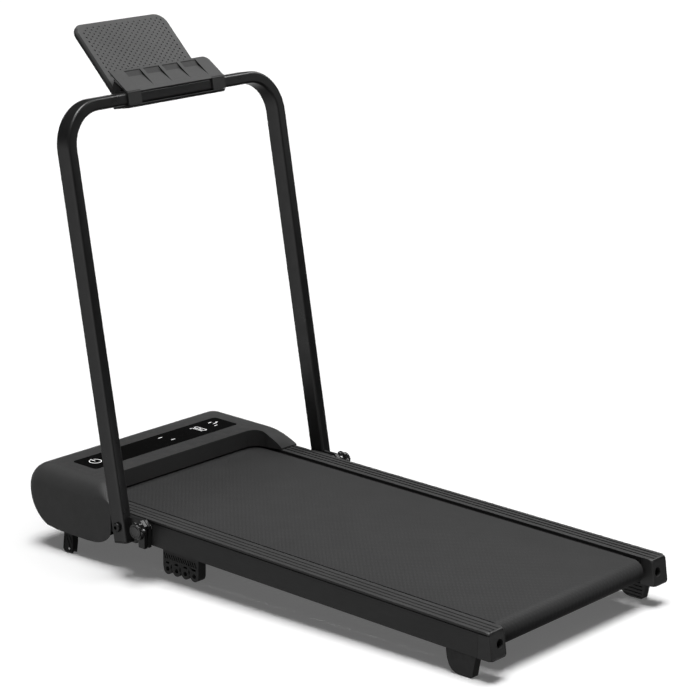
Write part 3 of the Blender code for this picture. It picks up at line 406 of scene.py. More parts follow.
def raw(name, bm):
    """An object in the deck frame from a bmesh in millimetres."""
    bmesh.ops.remove_doubles(bm, verts=bm.verts, dist=1e-4)
    bmesh.ops.recalc_face_normals(bm, faces=bm.faces)
    bmesh.ops.scale(bm, vec=(MM, MM, MM), verts=bm.verts)
    mesh = bpy.data.meshes.new(name)
    bm.to_mesh(mesh)
    bm.free()
    obj = bpy.data.objects.new(name, mesh)
    bpy.context.scene.collection.objects.link(obj)
    obj.matrix_world = DECK
    return obj


def carved(obj, tools, operation="DIFFERENCE"):
    """Cuts (or joins) bmeshes in millimetres from an object, at once and for good."""
    helpers = []
    for bm in tools:
        helper = raw("tool", bm)
        helpers.append(helper)
        modifier = obj.modifiers.new("carve", "BOOLEAN")
        modifier.operation = operation
        modifier.solver = "EXACT"
        modifier.object = helper
    bpy.context.view_layer.update()
    graph = bpy.context.evaluated_depsgraph_get()
    mesh = bpy.data.meshes.new_from_object(obj.evaluated_get(graph))
    obj.modifiers.clear()
    old = obj.data
    obj.data = mesh
    bpy.data.meshes.remove(old)
    for helper in helpers:
        tool_mesh = helper.data
        bpy.data.objects.remove(helper)
        bpy.data.meshes.remove(tool_mesh)


def dressed(obj, look, body, nodes=(), bevel=0.0, segments=2, angle=32.0, merge_flats=True):
    """Material, rounded edges and smooth shading, then the body that the piece rides on."""
    bm = bmesh.new()
    bm.from_mesh(obj.data)
    bmesh.ops.remove_doubles(bm, verts=bm.verts, dist=1e-7)
    if merge_flats:
        bmesh.ops.dissolve_limit(
            bm, angle_limit=math.radians(0.4), verts=bm.verts, edges=bm.edges, delimit={"NORMAL"}
        )
    else:
        bmesh.ops.triangulate(bm, faces=bm.faces)
    bm.to_mesh(obj.data)
    bm.free()
    obj.data.materials.clear()
    obj.data.materials.append(look)
    obj.data.shade_smooth()
    if bevel:
        modifier = obj.modifiers.new("soft edges", "BEVEL")
        modifier.width = bevel * MM
        modifier.segments = segments
        modifier.limit_method = "ANGLE"
        modifier.angle_limit = math.radians(angle)
        modifier.harden_normals = True
        normals = obj.modifiers.new("normals", "WEIGHTED_NORMAL")
        normals.keep_sharp = True
    else:
        obj.data.set_sharp_from_angle(angle=math.radians(angle))
    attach(obj, body)
    if nodes:
        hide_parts(*nodes)


def recast(node, look, body, bevel=0.0, segments=2):
    """The CAD node's own shape with rounded edges and a finished surface."""
    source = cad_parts[node].data
    mesh = bpy.data.meshes.new(node + "_skin")
    bm = bmesh.new()
    bm.from_mesh(source)
    bmesh.ops.remove_doubles(bm, verts=bm.verts, dist=2e-6)
    bmesh.ops.transform(bm, matrix=DECK.inverted(), verts=bm.verts)
    bm.to_mesh(mesh)
    bm.free()
    obj = bpy.data.objects.new(node + "_skin", mesh)
    bpy.context.scene.collection.objects.link(obj)
    obj.matrix_world = DECK
    dressed(obj, look, body, (node,), bevel, segments)


def painted(obj, look, wanted):
    """Gives a further material to the faces that wanted(centre, normal) picks, in deck millimetres."""
    obj.data.materials.append(look)
    index = len(obj.data.materials) - 1
    for face in obj.data.polygons:
        if wanted([value / MM for value in face.center], face.normal):
            face.material_index = index


# ---------------------------------------------------------------- hood


def nose(grow):
    """Hood profile from the rear of the top round the nose to the bottom lip."""
    high, low, steps = NOSE_UPPER_R, NOSE_LOWER_R, NOSE_STEPS
    entries = [(y, HOOD_TOP - grow, 90, 1.0) for y in (HOOD_WALL_Y + grow, HOOD_FLAT_Y)]
    for i in range(steps):
        turn = 90 - 90 * i / (steps - 1)
        y = HOOD_FRONT - high + (high - grow) * math.cos(math.radians(turn))
        z = HOOD_TOP - high + (high - grow) * math.sin(math.radians(turn))
        entries.append((y, z, turn, 1.0))
    for i in range(1, steps):
        turn = -90 * i / (steps - 1)
        y = HOOD_FRONT - low + (low - grow) * math.cos(math.radians(turn))
        z = HOOD_TOP - high + (low - grow) * math.sin(math.radians(turn))
        entries.append((y, z, turn, 1.0 - 0.92 * (i / (steps - 1)) ** 1.5))
    return entries


def filleted(entries, rest, half, fillet, steps):
    """The profile drawn out from -half to half, with its weighted points drawn in at both ends."""
    stations = [math.radians(90 * i / steps) for i in range(steps + 1)]
    columns = [(-half + fillet * (1 - math.sin(a)), fillet * (1 - math.cos(a))) for a in reversed(stations)]
    columns += [(half - fillet * (1 - math.sin(a)), fillet * (1 - math.cos(a))) for a in stations]
    rings = []
    for x, draw in columns:
        ring = []
        for y, z, turn, weight in entries:
            pull = draw * weight
            ring.append((
                x, y - pull * math.cos(math.radians(turn)), z - pull * math.sin(math.radians(turn))
            ))
        ring += [(x, y, z) for y, z in rest]
        rings.append(ring)
    return loft(rings)


def smooth_path(points, between):
    """Catmull-Rom points through a list of tuples."""
    result = []
    count = len(points)
    for i in range(count - 1):
        before = points[max(i - 1, 0)]
        after = points[min(i + 2, count - 1)]
        for k in range(between):
            t = k / between
            row = []
            for a, b, c, d in zip(before, points[i], points[i + 1], after):
                row.append(
                    0.5 * (2 * b + (c - a) * t + (2 * a - 5 * b + 4 * c - d) * t * t
                           + (3 * b - a - 3 * c + d) * t ** 3)
                )
            result.append(tuple(row))
    result.append(tuple(points[-1]))
    return result


HOOD_CORNER = [(1060, -91), (1032, -88.6), (1012, -82.6), (998, -73), (989.6, -61), (987, -48)]


def build_hood():
    arm_top = [(ARM_END, 3.0, 135, 0.03), (993, 11.5, 125, 0.16), (1003, 20.5, 120, 0.34),
               (1015, 28.6, 113, 0.55), (1029, 34.6, 104, 0.80), (1041, 37.0, 95, 0.95)]
    entries = nose(0.0)
    outline = smooth_path(arm_top + [entries[0]], 4)[:-1] + entries
    rest = [(1150, HOOD_BOTTOM)] + smooth_path(HOOD_CORNER, 3) + [(987, -20)]
    hood = raw("hood_shell", filleted(outline, rest, HOOD_HALF, HOOD_FILLET, 16))
    corner = HOOD_REAR_CORNER
    plan = [(-229, 900), (229, 900), (229, 988), (219, 1012)]
    plan += arc((218 - corner, HOOD_WALL_Y - corner), corner, 0, 90, 16)
    plan += arc((-218 + corner, HOOD_WALL_Y - corner), corner, 90, 180, 16)
    plan += [(-219, 1012), (-229, 988)]
    inner = [(HOOD_WALL_Y + 3, 0.4, 180, 0.0)] + nose(3.0)
    under = [(1150, HOOD_BOTTOM + 3), (1150, -140), (940, -140), (940, 0.4)]
    x0, x1, y0, y1 = DISPLAY
    well = [((x0 + x1) / 2 + x, (y0 + y1) / 2 + y) for x, y in rounded(x1 - x0 + 0.8, y1 - y0 + 0.8, 9, 8)]
    carved(hood, [
        prism_z(plan, -200, 100),
        filleted(inner, under, HOOD_HALF - 2.2, HOOD_FILLET - 3, 10),
        prism_z(well, HOOD_TOP - 1.7, 60),
        box(*POWER_OPENING),
    ])
    dressed(hood, HOOD_PLASTIC, "base", ("hood_cover",), 0.9, 2, 38.0)


def segment_bar(x, y, length, width, upright):
    """One flat bar with pointed ends, as in a segment digit."""
    h = width / 2
    a = length / 2
    points = [(-a, 0), (-a + h, -h), (a - h, -h), (a, 0), (a - h, h), (-a + h, h)]
    if upright:
        points = [(-v, u) for u, v in points]
    return prism_z([(x + u, y + v) for u, v in points], MARK_LOW, MARK_HIGH)


def digit(x, y, wide, tall, which):
    """A seven-segment digit; x, y is its lower left corner."""
    t = wide * 0.16
    half = tall / 2
    places = {
        "a": (x + wide / 2, y + tall, wide - t, False), "g": (x + wide / 2, y + half, wide - t, False),
        "d": (x + wide / 2, y, wide - t, False), "f": (x, y + half * 1.5, half - t, True),
        "b": (x + wide, y + half * 1.5, half - t, True), "e": (x, y + half * 0.5, half - t, True),
        "c": (x + wide, y + half * 0.5, half - t, True),
    }
    lit_in = {"7": "abc", "8": "abcdefg"}[which]
    return [segment_bar(*places[k][:3], t, places[k][3]) for k in lit_in]


def build_display():
    x0, x1, y0, y1 = DISPLAY
    lens = [((x0 + x1) / 2 + x, (y0 + y1) / 2 + y) for x, y in rounded(x1 - x0, y1 - y0, 8.7, 8)]
    lens = raw("display_window", prism_z(lens, HOOD_TOP - 1.4, HOOD_TOP + 0.2))
    dressed(lens, GLASS, "base", ("display_lens",), 0.15, 2)
    bars = []
    for x, which in ((113.0, "7"), (127.0, "8")):
        bars += digit(x, DIGIT_Y, DIGIT_WIDE, DIGIT_TALL, which)
    for x, y, length in SMALL_BARS:
        bars.append(segment_bar(x, y, length, MARK_LINE, False))
    ring_out = arc(POWER_SIGN, POWER_SIGN_R[0], 115, 425, 28)
    ring_in = arc(POWER_SIGN, POWER_SIGN_R[1], 425, 115, 28)
    bars.append(prism_z(ring_out + ring_in, MARK_LOW, MARK_HIGH))
    x, y = POWER_SIGN
    stroke = [(x - 0.8, y + 1), (x + 0.8, y + 1), (x + 0.8, y + 16), (x - 0.8, y + 16)]
    bars.append(prism_z(stroke, MARK_LOW, MARK_HIGH))
    marks = raw("display_segments", merged(bars))
    dressed(marks, LIT_WHITE, "base")


# ---------------------------------------------------------------- rails and caps


def groove(x):
    """A groove's section from its outer to its inner edge."""
    outer = [(x + half, z) for half, z in GROOVE_WALL]
    return outer + [(x - half, z) for half, z in reversed(GROOVE_WALL)]


def rail_outline(side):
    points = [
        (RAIL_SIDE - 3, -RAIL_HEIGHT), (RAIL_SIDE, -RAIL_HEIGHT), (RAIL_SIDE, -7.4), (RAIL_SIDE - 2, -6.8),
        (RAIL_SIDE - 2, -4.6), (RAIL_EDGE, -4.0), (RAIL_EDGE, -1.4), (RAIL_EDGE - 0.4, -0.4),
        (RAIL_EDGE - 1.4, 0),
    ]
    for x in reversed(GROOVES):
        points += groove(x)
    points += [
        (RAIL_INNER + 1.4, 0), (RAIL_INNER + 0.4, -0.4), (RAIL_INNER, -1.4), (RAIL_INNER, -19),
        (RAIL_INNER + 2.6, -19), (RAIL_INNER + 2.6, -4.2), (RAIL_SIDE - 5.5, -4.2),
        (RAIL_SIDE - 5.5, -9.5), (RAIL_SIDE - 3, -10.5),
    ]
    return [(side * x, z) for x, z in points]


def cap_section(y, lean, corner, inset, side):
    x0, x1 = RAIL_INNER + 0.5, RAIL_EDGE - 0.5
    ring = []
    for across, up in rounded(x1 - x0 - 2 * inset, RAIL_HEIGHT - 2 * inset, corner, 10):
        z = up - RAIL_HEIGHT / 2
        ring.append((side * (across + (x0 + x1) / 2), y + lean * z * CAP_LEAN, z))
    return ring


# Along y, share of the rear lean, corner radius, inset.
CAP_STATIONS = (
    (25.0, 0.0, 0.6, 0.0), (9.0, 1.0, 0.6, 0.0), (7.6, 1.0, 1.6, 0.0), (6.5, 1.0, 2.6, 0.0),
    (5.2, 1.0, 3.9, 0.0), (4.0, 1.0, 5.0, 0.02), (2.8, 1.0, 5.9, 0.1), (1.8, 1.0, 6.3, 0.25),
    (1.1, 1.0, 6.5, 0.45), (0.6, 1.0, 6.5, 0.75), (0.2, 1.0, 6.5, 1.1), (0.0, 1.0, 6.4, 1.6),
    (0.0, 1.0, 6.2, 2.3), (0.25, 1.0, 6.0, 2.7), (0.8, 1.0, 5.9, 3.0),
)


def cap_ledge(side):
    """What is taken off a cap's outside so that the rail's groove and wall run on across it."""
    section = [(RAIL_SIDE, -7.4), (RAIL_SIDE - 2, -6.8), (RAIL_SIDE - 2, -4.6), (RAIL_EDGE + 1, -4.0),
               (RAIL_EDGE + 1, -60), (RAIL_SIDE, -60)]
    rings = []
    for y, lean in ((CAP_PLATE_Y, CAP_LEAN), (30.0, 0.0)):
        rings.append([(side * x, y + lean * z, z) for x, z in section])
    return loft(rings)


def build_rails():
    for name, side in SIDES:
        rail = raw(f"foot_rail_{name}", prism_y(rail_outline(side), RAIL_START, RAIL_END))
        dressed(rail, RAIL_SIDE_COAT, "base", (f"side_rail_{name}",), 0.0, 2, 24.0)
        # Painted light: the upward faces of the rail's top get the lighter copy.
        painted(rail, RAIL_TOP_PAINTED_LIGHT, lambda at, normal: normal.z > 0.5 and at[2] > -1.2)
        # Painted shade on the inner lip beside the belt gap.
        painted(rail, RAIL_PAINTED_SHADE, lambda at, normal: side * normal.x < -0.5 and at[2] > -19.5)
        # Painted shade on the groove floors and the ledge under the top rib.
        painted(rail, RAIL_PAINTED_SHADE, lambda at, normal: normal.z > 0.2 and -6.9 < at[2] < -1.5)
        cap = raw(f"rear_cap_{name}", loft([cap_section(*row, side) for row in CAP_STATIONS]))
        hole = (side * CAP_HOLE_X, ROLLER_Z)
        ribs = []
        for x in GROOVES:
            open_top = GROOVE_WALL[0][0]
            rib = [(x - open_top, 0.5)] + groove(x)[::-1] + [(x + open_top, 0.5)]
            ribs.append(prism_y([(side * u, v) for u, v in rib], CAP_GROOVE_Y, 30))
        carved(cap, [
            stepped("y", [(-30, CAP_HOLE_R), (15, CAP_HOLE_R)], hole, 40),
            stepped("y", [(0, CAP_BOLT_R), (40, CAP_BOLT_R)], hole, 24),
            merged(ribs),
            cap_ledge(side),
        ])
        dressed(cap, CAP_PLASTIC, "base", (f"end_cap_{name}",), 0.3, 2, 34.0)
        # Painted light: the cap's top gets the rail's lighter top copy.
        painted(cap, RAIL_TOP_PAINTED_LIGHT, lambda at, normal: normal.z > 0.85 and at[2] > -0.3 and at[1] > 3)
        # Painted shade under the ledge along the cap's outside.
        painted(cap, RAIL_PAINTED_SHADE, lambda at, normal: abs(at[0]) > 271 and -6.9 < at[2] < -4.4)
        recast(f"belt_adjuster_{name}", BOLT_BLACK, f"belt_adjuster_{name}", 0.3)


# ---------------------------------------------------------------- belt


def build_belt():
    outer = ROLLER_R + BELT_GAP + BELT_THICK
    inner = outer - BELT_THICK
    half = BELT_HALF
    section = [(inner, -half), (inner, half), (outer - 0.5, half), (outer, half - 0.6),
               (outer, -half + 0.6), (outer - 0.5, -half)]
    stops = []
    for y, start in ((REAR_ROLLER_Y, 90), (FRONT_ROLLER_Y, -90)):
        for i in range(BELT_TURN_STEPS + 1):
            stops.append((y, start + 180 * i / BELT_TURN_STEPS))
    rings = []
    for y, turn in stops:
        a = math.radians(turn)
        rings.append([(x, y + r * math.cos(a), ROLLER_Z + r * math.sin(a)) for r, x in section])
    belt = raw("running_belt", loft(rings, closed=True))
    dressed(belt, BELT, "base", ("walking_belt",), 0.0, 2, 40.0)


# ---------------------------------------------------------------- handle


def handle_point(x, s, a):
    """Deck place of a point s up the leaning uprights from the pivot and a towards the hood."""
    y = PIVOT_Y + s * math.sin(LEAN) + a * math.cos(LEAN)
    z = PIVOT_Z + s * math.cos(LEAN) - a * math.sin(LEAN)
    return (x, y, z)


def tube_rings(inset, beyond, section_steps=8, bend_steps=36):
    side = HANDLE_OUT - TUBE_W / 2
    stops = [(-side, s, 180) for s in (TUBE_FOOT_S - beyond, *UPRIGHT_STOPS)]
    for i in range(bend_steps + 1):
        turn = 180 - 90 * i / bend_steps
        x = -side + BEND_R + BEND_R * math.cos(math.radians(turn))
        s = CROSSBAR_S - BEND_R + BEND_R * math.sin(math.radians(turn))
        stops.append((x, s, turn))
    stops += [(-x, s, 180 - turn) for x, s, turn in reversed(stops)]
    section = rounded(TUBE_W - 2 * inset, TUBE_D - 2 * inset, TUBE_CORNER - inset, section_steps)
    rings = []
    for x, s, turn in stops:
        ring = []
        for out, fore in section:
            across = x + out * math.cos(math.radians(turn))
            along = s + out * math.sin(math.radians(turn))
            ring.append(handle_point(across, along, fore))
        rings.append(ring)
    return rings


def build_handle():
    handle = raw("handle_tube", loft(tube_rings(0.0, 0.0)))
    lug = [(869, -57.5), (886, -57.5), (887, -46), (903, -43), (921, -41), (921, -10), (914, 0), (880, 0),
           (869, -10)]
    tools = [loft(tube_rings(TUBE_WALL, 20.0))]
    for _, side in SIDES:
        tools.append(stepped("x", [(side * x, 5.4) for x in (270, 340)], (PIVOT_Y, PIVOT_Z), 32))
    carved(handle, tools)
    dressed(handle, TUBE_PAINT, "handle", ("handle",), 0.0, 2, 40.0)
    for name, side in SIDES:
        plate = raw(f"handle_lug_{name}", prism_x(lug, side * LUG_INNER_X, side * LUG_OUTER_X))
        carved(plate, [
            stepped("x", [(side * 270, 4.3), (side * 300, 4.3)], (KNOB_Y, KNOB_Z), 24),
            loft(tube_rings(-0.2, 0.0, 4, 8)),
        ])
        dressed(plate, TUBE_PAINT, "handle", (), 1.0, 3)
        recast(f"handle_plug_{name}", CAP_PLASTIC, "handle", 0.4)
        recast(f"lock_bolt_{name}", BRIGHT_STEEL, "handle", 0.3)
        recast(f"handle_bracket_{name}", FRAME_PAINT, "base", 0.6)
        recast(f"pivot_washer_{name}", BRIGHT_STEEL, "base", 0.2)
        stations = [(277, 4.4), (278, 5), (311.4, 5), (311.4, 9.4), (311.9, 10), (315.4, 10), (316.8, 9.1),
                    (317.6, 7.4)]
        bolt = raw(f"pivot_bolt_head_{name}",
                   stepped("x", [(side * x, r) for x, r in stations], (PIVOT_Y, PIVOT_Z), 48))
        carved(bolt, [stepped("x", [(side * 313.6, 4.3), (side * 330, 4.3)], (PIVOT_Y, PIVOT_Z), 6)])
        dressed(bolt, BOLT_BLACK, "base", (f"pivot_bolt_{name}",), 0.25, 2)


def build_knobs():
    def lobes(radius, turn):
        if radius < 15.8:
            return radius
        return radius - 3.4 * (0.5 - 0.5 * math.cos(KNOB_LOBES * turn))

    stations = [(295.4, 10.6), (295.8, 11.0), (298.8, 11.6), (299.5, 12.2), (300.2, 14.2), (301.0, 17.2),
                (302.0, 18.7), (303.6, 19.6), (305.0, 19.8), (308.4, 19.8), (309.8, 19.5), (311.2, 18.7),
                (312.2, 17.4), (312.7, 15.9), (312.9, 15.2), (315.0, 15.2), (315.6, 14.9), (315.9, 14.3),
                (315.9, 12.6), (315.5, 12.2), (315.5, 11.4), (315.9, 11.0), (316.3, 9.0), (316.5, 6.0)]
    for name, side in SIDES:
        knob = raw(f"locking_knob_{name}",
                   stepped("x", [(side * x, r) for x, r in stations], (KNOB_Y, KNOB_Z), 96, lobes))
        carved(knob, [stepped("x", [(side * 290, 4.15), (side * 312, 4.15)], (KNOB_Y, KNOB_Z), 24)])
        dressed(knob, KNOB_PLASTIC, f"lock_knob_{name}", (f"lock_knob_{name}",), 0.0, 2, 44.0)


# ---------------------------------------------------------------- device holder


def bar_point(a, b):
    """The y and z of a point a towards the hood from the crossbar's middle and b above it."""
    return handle_point(0, CROSSBAR_S + b, a)[1:]


PLATE_LEAN = math.radians(45.8)
PLATE_LENGTH, PLATE_HALF, PLATE_CORNER = 175.4, 129.0, 27.0
PLATE_FOOT_Y, PLATE_FOOT_Z = 1113.9, 820.0
PLATE_BACK = Vector((0.0, math.cos(PLATE_LEAN), -math.sin(PLATE_LEAN)))
DIMPLE_SIDE, DIMPLE_RISE, DIMPLE_START, DIMPLE_DEPTH = 8.2, 5.6, 27.0, 1.45
DIMPLE_ROWS, DIMPLE_COLUMNS, DIMPLE_MARGIN, DIMPLE_SEGMENTS = 27, 15, 7.2, 8
DIMPLE_RADII = ((0.0, 2.4), (DIMPLE_DEPTH, 1.3))
PLATE_RIM = 24.0
# The rounded edges of the plate and the cover: place in the thickness and inset.
PLATE_EDGE = ((0.0, 5.6), (0.6, 3.9), (1.8, 1.7), (3.8, 0.0), (8.6, 0.0), (10.2, 0.7), (11.0, 2.4))
COVER_EDGE = ((-4.2, 0.9), (-3.4, 0.2), (-0.9, 0.0), (-0.25, 0.25), (0.0, 0.9))
COVER_FOOT, COVER_TOP, COVER_HALF = (1063.6, 826.0), (1118.0, 862.0), 138.0
COVER_LENGTH, COVER_CORNER, COVER_BAND_TILT = 65.2, 14.0, math.radians(48.55)
COVER_BAND = Vector((0.0, -math.sin(COVER_BAND_TILT), math.cos(COVER_BAND_TILT)))
LOUVRE_WIDTH, LOUVRE_EDGES = 44.0, (-58.0, -5.0, 48.0, 101.0)
CLIP_INNER_X, CLIP_OUTER_X, SPINE_HALF = 102.0, 137.6, 101.8
RIB_HALF, RIB_PLACES = 1.8, (-134.5, -80.0, -27.0, 27.0, 80.0, 134.5)


def plate_point(x, t, n):
    """Deck place of a point t up the back plate and n behind its front."""
    y = PLATE_FOOT_Y + t * math.sin(PLATE_LEAN) + n * math.cos(PLATE_LEAN)
    z = PLATE_FOOT_Z + t * math.cos(PLATE_LEAN) - n * math.sin(PLATE_LEAN)
    return (x, y, z)


def cover_point(x, s, n):
    """Deck place of a point s up the holder's sloping cover and n above it."""
    slope = math.atan2(COVER_TOP[1] - COVER_FOOT[1], COVER_TOP[0] - COVER_FOOT[0])
    y = COVER_FOOT[0] + s * math.cos(slope) - n * math.sin(slope)
    z = COVER_FOOT[1] + s * math.sin(slope) + n * math.cos(slope)
    return (x, y, z)


def plate_outline(inset):
    half, length, corner = PLATE_HALF - inset, PLATE_LENGTH - inset, PLATE_CORNER - inset * 0.5
    outline = [(-half, inset), (half, inset)]
    outline += arc((half - corner, length - corner), corner, 0, 90, 16)
    outline += arc((-half + corner, length - corner), corner, 90, 180, 16)
    return outline


def dimpled_cell(bm, corners, x, t):
    """A flat cell, corners counter-clockwise from +x +t, with one dished pit at its middle."""
    turns = [2 * math.pi * i / DIMPLE_SEGMENTS for i in range(DIMPLE_SEGMENTS)]
    rings = []
    for n, radius in DIMPLE_RADII:
        rings.append(add_ring(bm, [
            plate_point(x + radius * math.cos(a), t + radius * math.sin(a), n) for a in turns
        ]))
    rim = rings[0]
    quarter = DIMPLE_SEGMENTS // 4
    for k in range(4):
        bm.faces.new((corners[k - 1], corners[k], rim[k * quarter]))
        for i in range(quarter):
            first = rim[k * quarter + i]
            second = rim[(k * quarter + i + 1) % DIMPLE_SEGMENTS]
            bm.faces.new((corners[k], second, first))
    add_band(bm, rim, rings[-1])
    bm.faces.new(rings[-1])


def in_dimpled_area(x, t):
    """True well inside the plate's outline, rounded corners included."""
    over = t - (PLATE_LENGTH - PLATE_CORNER)
    if over <= 0:
        return abs(x) < PLATE_HALF - DIMPLE_MARGIN
    aside = abs(x) - (PLATE_HALF - PLATE_CORNER)
    reach = PLATE_CORNER - DIMPLE_MARGIN
    return over < reach and (aside <= 0 or math.hypot(over, aside) < reach)


def dimpled_front(bm):
    """Fills the front of the plate: a chequer of flat and dimpled cells, then a plain border."""
    grid = {}

    def corner(i, j):
        if (i, j) not in grid:
            t = DIMPLE_START + (j - 0.5) * DIMPLE_RISE
            grid[i, j] = bm.verts.new(plate_point(i * DIMPLE_SIDE, t, 0.0))
        return grid[i, j]

    def inside(i, j):
        return in_dimpled_area(i * DIMPLE_SIDE, DIMPLE_START + (j - 0.5) * DIMPLE_RISE)

    for j in range(DIMPLE_ROWS):
        for i in range(-DIMPLE_COLUMNS, DIMPLE_COLUMNS):
            if not (inside(i, j) and inside(i + 1, j) and inside(i, j + 1) and inside(i + 1, j + 1)):
                continue
            corners = [corner(i + 1, j + 1), corner(i, j + 1), corner(i, j), corner(i + 1, j)]
            if (i + j) % 2:
                bm.faces.new(corners)
            else:
                middle = DIMPLE_START + j * DIMPLE_RISE
                dimpled_cell(bm, corners, (i + 0.5) * DIMPLE_SIDE, middle)
    edges = [edge for edge in bm.edges if edge.is_boundary]
    bmesh.ops.triangle_fill(bm, edges=edges, use_beauty=True)


def is_side_rim(at, normal):
    """True for the rounded edge at the plate's left and right, which is given painted shade."""
    return abs(normal.x) > 0.28 and abs(at[0]) > PLATE_HALF - PLATE_RIM and -0.96 < normal.dot(PLATE_BACK)


def in_pit(at):
    """True for the walls of the pits, which lie away from the plate's rim."""
    y, z = at[1] - PLATE_FOOT_Y, at[2] - PLATE_FOOT_Z
    along = y * math.sin(PLATE_LEAN) + z * math.cos(PLATE_LEAN)
    behind = y * math.cos(PLATE_LEAN) - z * math.sin(PLATE_LEAN)
    return behind < DIMPLE_DEPTH + 0.1 and in_dimpled_area(at[0], along)


def build_plate():
    sheet = bmesh.new()
    rings = []
    for n, inset in PLATE_EDGE:
        rings.append(add_ring(sheet, [plate_point(x, t, n) for x, t in plate_outline(inset)]))
    for one, two in zip(rings, rings[1:]):
        add_band(sheet, one, two)
    sheet.faces.new(rings[-1])
    dimpled_front(sheet)
    plate = raw("holder_plate", sheet)
    dressed(plate, HOLDER_PLASTIC, "handle", ("holder_back_plate",),
            angle=30.0, merge_flats=False)
    # Painted shade on the rounded left and right edges; the faces turned away from the front, pits aside,
    # are dark too.
    painted(plate, HOLDER_DARK_AND_SHADE, lambda at, normal: (
        is_side_rim(at, normal) or (normal.dot(PLATE_BACK) > -0.35 and not in_pit(at))
    ))


def build_cover():
    half, length, corner = COVER_HALF, COVER_LENGTH, COVER_CORNER
    rings = []
    for n, inset in COVER_EDGE:
        outline = [(-half + inset, inset), (half - inset, inset)]
        outline += arc((half - corner, length - corner), corner - inset, 0, 90, 10)
        outline += arc((-half + 3, length - 3), 3 - inset, 90, 180, 4)
        rings.append([cover_point(x, t, n) for x, t in outline])
    cover = raw("holder_cover", loft(rings))
    backing = [cover_point(0, s, n)[1:] for s, n in ((14, -2), (62, -2), (62, -4.4), (48, -6.6), (14, -3.4))]
    carved(cover, [prism_x(backing, -104, 103.5)], "UNION")
    louvre = [cover_point(0, s, n)[1:] for s, n in ((60, 3), (60, -1.4), (47, -4.9), (11, -0.05), (9, 3))]
    carved(cover, [merged([prism_x(louvre, x - LOUVRE_WIDTH, x) for x in LOUVRE_EDGES])])
    dressed(cover, COVER_PLASTIC, "handle", ("holder_body",), 0.3, 2, 30.0)
    # Painted shade: the wall at the right of each louvre recess, facing left, is dark.
    painted(cover, HOLDER_DARK_AND_SHADE, lambda at, normal: normal.x < -0.9 and abs(at[0]) < 110)
    # Painted shade on the steep upper band of each louvre recess.
    painted(cover, RECESS_PAINTED_SHADE, lambda at, normal: normal.dot(COVER_BAND) > 0.99 and abs(at[0]) < 110)


def build_clips():
    for name, side in SIDES:
        outer = [bar_point(-22.8, -12.4), bar_point(24.0, -12.4), bar_point(24.0, 15.0),
                 bar_point(-18.5, 16.5), bar_point(-22.0, 15.0), bar_point(-22.8, 12.0)]
        clip = raw(f"holder_clip_{name}", prism_x(outer, side * CLIP_INNER_X, side * CLIP_OUTER_X))
        inner = [bar_point(*point) for point in rounded(39.4, 25.3, 5.8, 6)]
        carved(clip, [
            prism_x(inner, side * 90, side * 150),
            prism_x([bar_point(-19.7, 0), bar_point(19.7, 0), bar_point(19.7, -30), bar_point(-19.7, -30)],
                    side * 90, side * 150),
        ])
        dressed(clip, CLIP_PLASTIC, "handle", (), 0.8, 3)
    spine = [bar_point(-18.0, 12.9), bar_point(19.7, 12.9), bar_point(19.7, -12.4), bar_point(24.0, -12.4),
             bar_point(24.0, 15.0), (1100.5, 825.8), (1089.5, 829.5), (1083.5, 835.6), (1070.0, 828.2)]
    body = raw("holder_spine", prism_x(spine, -SPINE_HALF, SPINE_HALF))
    dressed(body, HOLDER_DARK_AND_SHADE, "handle", (), 0.6, 2)
    gusset = [(1084, 829.5), (1090, 825), (1104, 821), (1112, 829), (1107, 843)]
    ribs = [prism_x(gusset, x - RIB_HALF, x + RIB_HALF) for x in RIB_PLACES]
    ribs = raw("holder_ribs", merged(ribs))
    dressed(ribs, HOLDER_DARK_AND_SHADE, "handle", (), 0.4, 2)
    recast("holder_clamp", HOLDER_DARK_AND_SHADE, "handle", 1.2, 3)
    for name, _ in SIDES:
        recast(f"holder_screw_{name}", BOLT_BLACK, "handle", 0.2)


# ---------------------------------------------------------------- feet and hidden pieces


def build_feet():
    for name, _ in SIDES:
        recast(f"rear_foot_{name}", RUBBER, "base", 0.8, 3)
        recast(f"cushion_foot_{name}", RUBBER, "base", 0.35, 2)
        recast(f"front_leg_{name}", LEG_RUBBER, "base", 0.5, 2)
        recast(f"transport_roller_{name}", CAP_PLASTIC, f"transport_roller_{name}", 0.4)
        recast(f"roller_pin_{name}", BRIGHT_STEEL, "base", 0.3)


def build_inside():
    recast("base_frame", FRAME_PAINT, "base", 0.6)
    recast("belly_pan", PAN_PLASTIC, "base", 0.4)
    recast("deck_board", WOOD, "base", 0.8)
    recast("rear_roller", ROLLER_STEEL, "rear_roller", 0.0)
    recast("front_roller", ROLLER_STEEL, "front_roller", 0.0)
    recast("rear_axle", BRIGHT_STEEL, "base", 0.0)
    recast("front_axle", BRIGHT_STEEL, "base", 0.0)
    recast("drive_belt", DRIVE_RUBBER, "base", 0.0)
    recast("motor_body", MOTOR_METAL, "base", 0.6)
    recast("motor_rotor", CAST_METAL, "motor_rotor", 0.0)
    recast("controller", CAST_METAL, "base", 0.5)
    recast("display_board", BOARD, "base", 0.2)
    recast("power_panel", CAP_PLASTIC, "base", 0.5)
    recast("rocker_switch", KNOB_PLASTIC, "rocker_switch", 0.8, 3)
    for number in range(1, 7):
        recast(f"deck_cushion_{number}", RUBBER, "base", 0.4)


# ---------------------------------------------------------------- floor, light, camera


FLOOR_REACH, FLOOR_GLOW, WALL_GLOW = 40.0, 0.11, 1.0
SUN_STRENGTH, SUN_ANGLE, HORIZON = 3.15, 32.0, 0.06
# The world's brighter sides: direction, sharpness and strength. The first two end at the horizon.
LEFT_GLOW = ((-1, 0, 0), 1.6, 1.02)
BEYOND_GLOW = ((0.7, 0.7, 0), 3.0, 0.9)
TOP_GLOW = ((0, 0, 1), 3.0, 0.12)
WORLD_GLOW = 0.016
